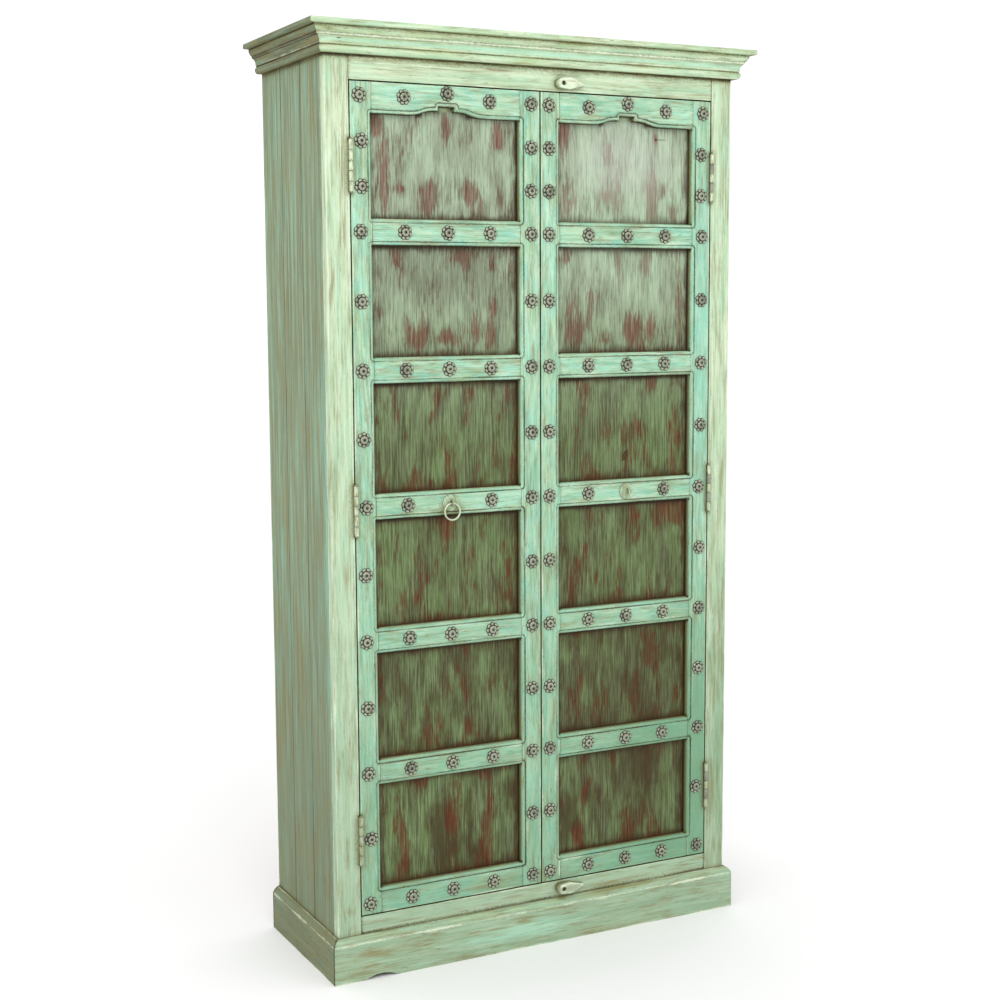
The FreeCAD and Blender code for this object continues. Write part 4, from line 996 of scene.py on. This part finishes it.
class CABINET_OT_rosettes(bpy.types.Operator):
    """Iron studs in the form of eight-petalled rosettes"""
    bl_idname = "cabinet.rosettes"
    bl_label = "Rosettes"

    PETALS = 8
    STEPS = 32
    # Seed of the turns on each door.
    SEEDS = (4, 5)
    # Radius and height above the door, in millimetres, from the nail head out to the rim and over the back.
    PROFILE = ((0, 6.1), (1.7, 5.9), (2.6, 4.3), (3.6, 5.0), (6.0, 5.2), (8.2, 3.8), (9.2, 2.0),
               (10.4, 2.7), (12.8, 3.1), (14.8, 2.3), (15.8, 0.9), (15.8, 0), (0, 0))
    # Where the dome and the petals start, and depth of the notches between the petals and of the grooves
    # in the dome, in millimetres. Between the petals a share of their height is left.
    DOME_START = 3
    PETAL_START = 9.2
    NOTCH = 1.9
    GROOVE = 0.5
    GAP_HEIGHT = 0.5
    # Rings that stay dark, as radius and width in millimetres: round the nail head, under the dome, and the
    # rim, which is dark iron with a painted shadow round the stud.
    DARK_RINGS = ((0, 2.9), (9.2, 1.0), (16.4, 1.6))
    # How dark and how narrow the gaps between the petals are, and how dark the grooves.
    PETAL_SHADE = 0.85
    SHADE_POWER = 3
    GROOVE_SHADE = 0.35
    SMOOTH_ANGLE = math.radians(60)

    def execute(self, context):
        material = worn_metal("rubbed cast iron", "iron", "pewter", 0.5, "relief", 0.25, 1.05)
        pattern_mesh = self.rosette()
        for side, seed in zip(SIDES, self.SEEDS):
            node = f"{side}_door_rosettes"
            chance = random.Random(seed)
            solids = copy_of(node)
            boxes = [corners(part) for part in loose_parts(solids)]
            solids.free()
            bm = bmesh.new()
            for low, high in boxes:
                middle = Vector(((low.x + high.x) / 2, high.y, (low.z + high.z) / 2))
                turn = Matrix.Rotation(chance.uniform(0, math.pi), 4, "Y")
                one = pattern_mesh.copy()
                one.transform(Matrix.Translation(middle) @ turn)
                bm.from_mesh(one)
                bpy.data.meshes.remove(one)
            finish_piece(bm, f"{node}_iron", [node], material, self.SMOOTH_ANGLE)
        bpy.data.meshes.remove(pattern_mesh)
        return {"FINISHED"}

    def rosette(self):
        """One rosette round the origin, facing -Y."""
        bm = bmesh.new()
        layer = bm.verts.layers.float.new("relief")
        verts = [bm.verts.new((radius * MM, -height * MM, 0)) for radius, height in self.PROFILE]
        edges = [bm.edges.new(pair) for pair in zip(verts, verts[1:])]
        bmesh.ops.spin(bm, geom=verts + edges, cent=(0, 0, 0), axis=(0, 1, 0), angle=math.tau,
                       steps=self.STEPS, use_merge=True)
        bmesh.ops.remove_doubles(bm, verts=bm.verts[:], dist=MERGE_DISTANCE)
        start = self.PETAL_START * MM
        rim = max(radius for radius, height in self.PROFILE) * MM
        for vert in bm.verts:
            radius = math.hypot(vert.co.x, vert.co.z)
            angle = math.atan2(vert.co.z, vert.co.x)
            lobe = 0.5 + 0.5 * math.cos(self.PETALS * angle)
            out = max(radius - start, 0) / (rim - start)
            dark = max(math.exp(-((radius / MM - ring) / width) ** 2) for ring, width in self.DARK_RINGS)
            shade = self.GROOVE_SHADE * (1 - lobe)
            if out > 0:
                shade = self.PETAL_SHADE * (1 - lobe) ** self.SHADE_POWER
                shrink = 1 - out * (1 - lobe) * self.NOTCH * MM / radius
                vert.co.x *= shrink
                vert.co.z *= shrink
                vert.co.y *= self.GAP_HEIGHT + (1 - self.GAP_HEIGHT) * lobe
            elif radius > self.DOME_START * MM:
                vert.co.y += self.GROOVE * MM * (1 - lobe)
            vert[layer] = (1 - dark) * (1 - shade)
        bmesh.ops.recalc_face_normals(bm, faces=bm.faces[:])
        mesh = bpy.data.meshes.new("rosette")
        bm.to_mesh(mesh)
        bm.free()
        return mesh


class CABINET_OT_hinges(bpy.types.Operator):
    """Butt hinges: leaves, pins and screws"""
    bl_idname = "cabinet.hinges"
    bl_label = "Hinges"

    STEP = 6 * MM

    def execute(self, context):
        # Rust shows where the dirt attribute, which holds painted shade too, is high.
        steel = worn_metal("rubbed and rusted steel", "rust", "steel", 0.5, "dirt_and_shade", 1.1, 0.4)
        painted = distressed_paint("overpainted hinge steel", "cream", (
            ("cream_mint", 30, 9, 0.6), ("scuff", 18, 6, 0.6)))
        for side in SIDES:
            door_finish = painted if side == "left" else steel
            worn_board(f"{side}_frame_hinge_leaves", Z, self.STEP, painted, rub=METAL_RUB)
            worn_board(f"{side}_door_hinge_leaves", Z, self.STEP, door_finish, rub=METAL_RUB)
            for kind in ("hinge_pins", "frame_hinge_screws", "door_hinge_screws"):
                worn_board(f"{side}_{kind}", Z, self.STEP, steel, rub=METAL_RUB)
        return {"FINISHED"}


class CABINET_OT_pulls(bpy.types.Operator):
    """Pull plates and the ring"""
    bl_idname = "cabinet.pulls"
    bl_label = "Pulls"

    STEP = 3 * MM

    def execute(self, context):
        painted = distressed_paint("overpainted pull plate", "cream_mint", (
            ("mint", 20, 9, 0.7), ("scuff", 9, 5, 0.5)))
        for side in SIDES:
            worn_board(f"{side}_pull_plate", Z, self.STEP, painted, rub=METAL_RUB)
        # Rust shows where the dirt attribute, which holds painted shade too, is high.
        brass = worn_metal("dull pale brass", "rust", "brass", 0.4, "dirt_and_shade", 1.1, 0.5)
        worn_board("ring_pull", Z, self.STEP, brass, rub=METAL_RUB)
        return {"FINISHED"}


class CABINET_OT_turn_buttons(bpy.types.Operator):
    """Wooden turn buttons and their screws"""
    bl_idname = "cabinet.turn_buttons"
    bl_label = "Turn buttons"

    STEP = 3 * MM
    SCREW_STEP = 4 * MM

    def execute(self, context):
        material = distressed_paint("cream button paint", "cream", (
            ("cream_mint", 40, 12, 0.6),), scuffs=0.3)
        for place in ("upper", "lower"):
            worn_board(f"{place}_turn_button", X, self.STEP, material)
        # The screws are darkest where the dirt attribute, which holds painted shade too, is high.
        metal = worn_metal("blackened screw iron", "iron", "rust", 0.5, "dirt_and_shade", 1.0, 0.3)
        worn_board("turn_button_screws", Y, self.SCREW_STEP, metal, rub=METAL_RUB)
        return {"FINISHED"}


BUILDERS = (
    CABINET_OT_stage,
    CABINET_OT_face_frame,
    CABINET_OT_sides,
    CABINET_OT_inner_boards,
    CABINET_OT_plinth,
    CABINET_OT_cornice,
    CABINET_OT_door_frames,
    CABINET_OT_door_panels,
    CABINET_OT_rosettes,
    CABINET_OT_hinges,
    CABINET_OT_pulls,
    CABINET_OT_turn_buttons,
)


class CABINET_PT_build(bpy.types.Panel):
    """Builders, sizes and colours of the cabinet"""
    bl_idname = "CABINET_PT_build"
    bl_label = "Painted cabinet"
    bl_space_type = "VIEW_3D"
    bl_region_type = "UI"
    bl_category = "Cabinet"

    def draw(self, context):
        for builder in BUILDERS:
            self.layout.operator(builder.bl_idname)
        for group in (context.scene.cabinet_sizes, context.scene.cabinet_colours):
            column = self.layout.column()
            for name in type(group).__annotations__:
                column.prop(group, name)


CLASSES = (CabinetSizes, CabinetColours, *BUILDERS, CABINET_PT_build)


def register():
    for kind in CLASSES:
        bpy.utils.register_class(kind)
    bpy.types.Scene.cabinet_sizes = PointerProperty(type=CabinetSizes)
    bpy.types.Scene.cabinet_colours = PointerProperty(type=CabinetColours)


def unregister():
    del bpy.types.Scene.cabinet_colours
    del bpy.types.Scene.cabinet_sizes
    for kind in reversed(CLASSES):
        bpy.utils.unregister_class(kind)


def main():
    register()
    for builder in BUILDERS:
        group, name = builder.bl_idname.split(".")
        getattr(getattr(bpy.ops, group), name)()
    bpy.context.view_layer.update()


if __name__ == "__main__":
    main()
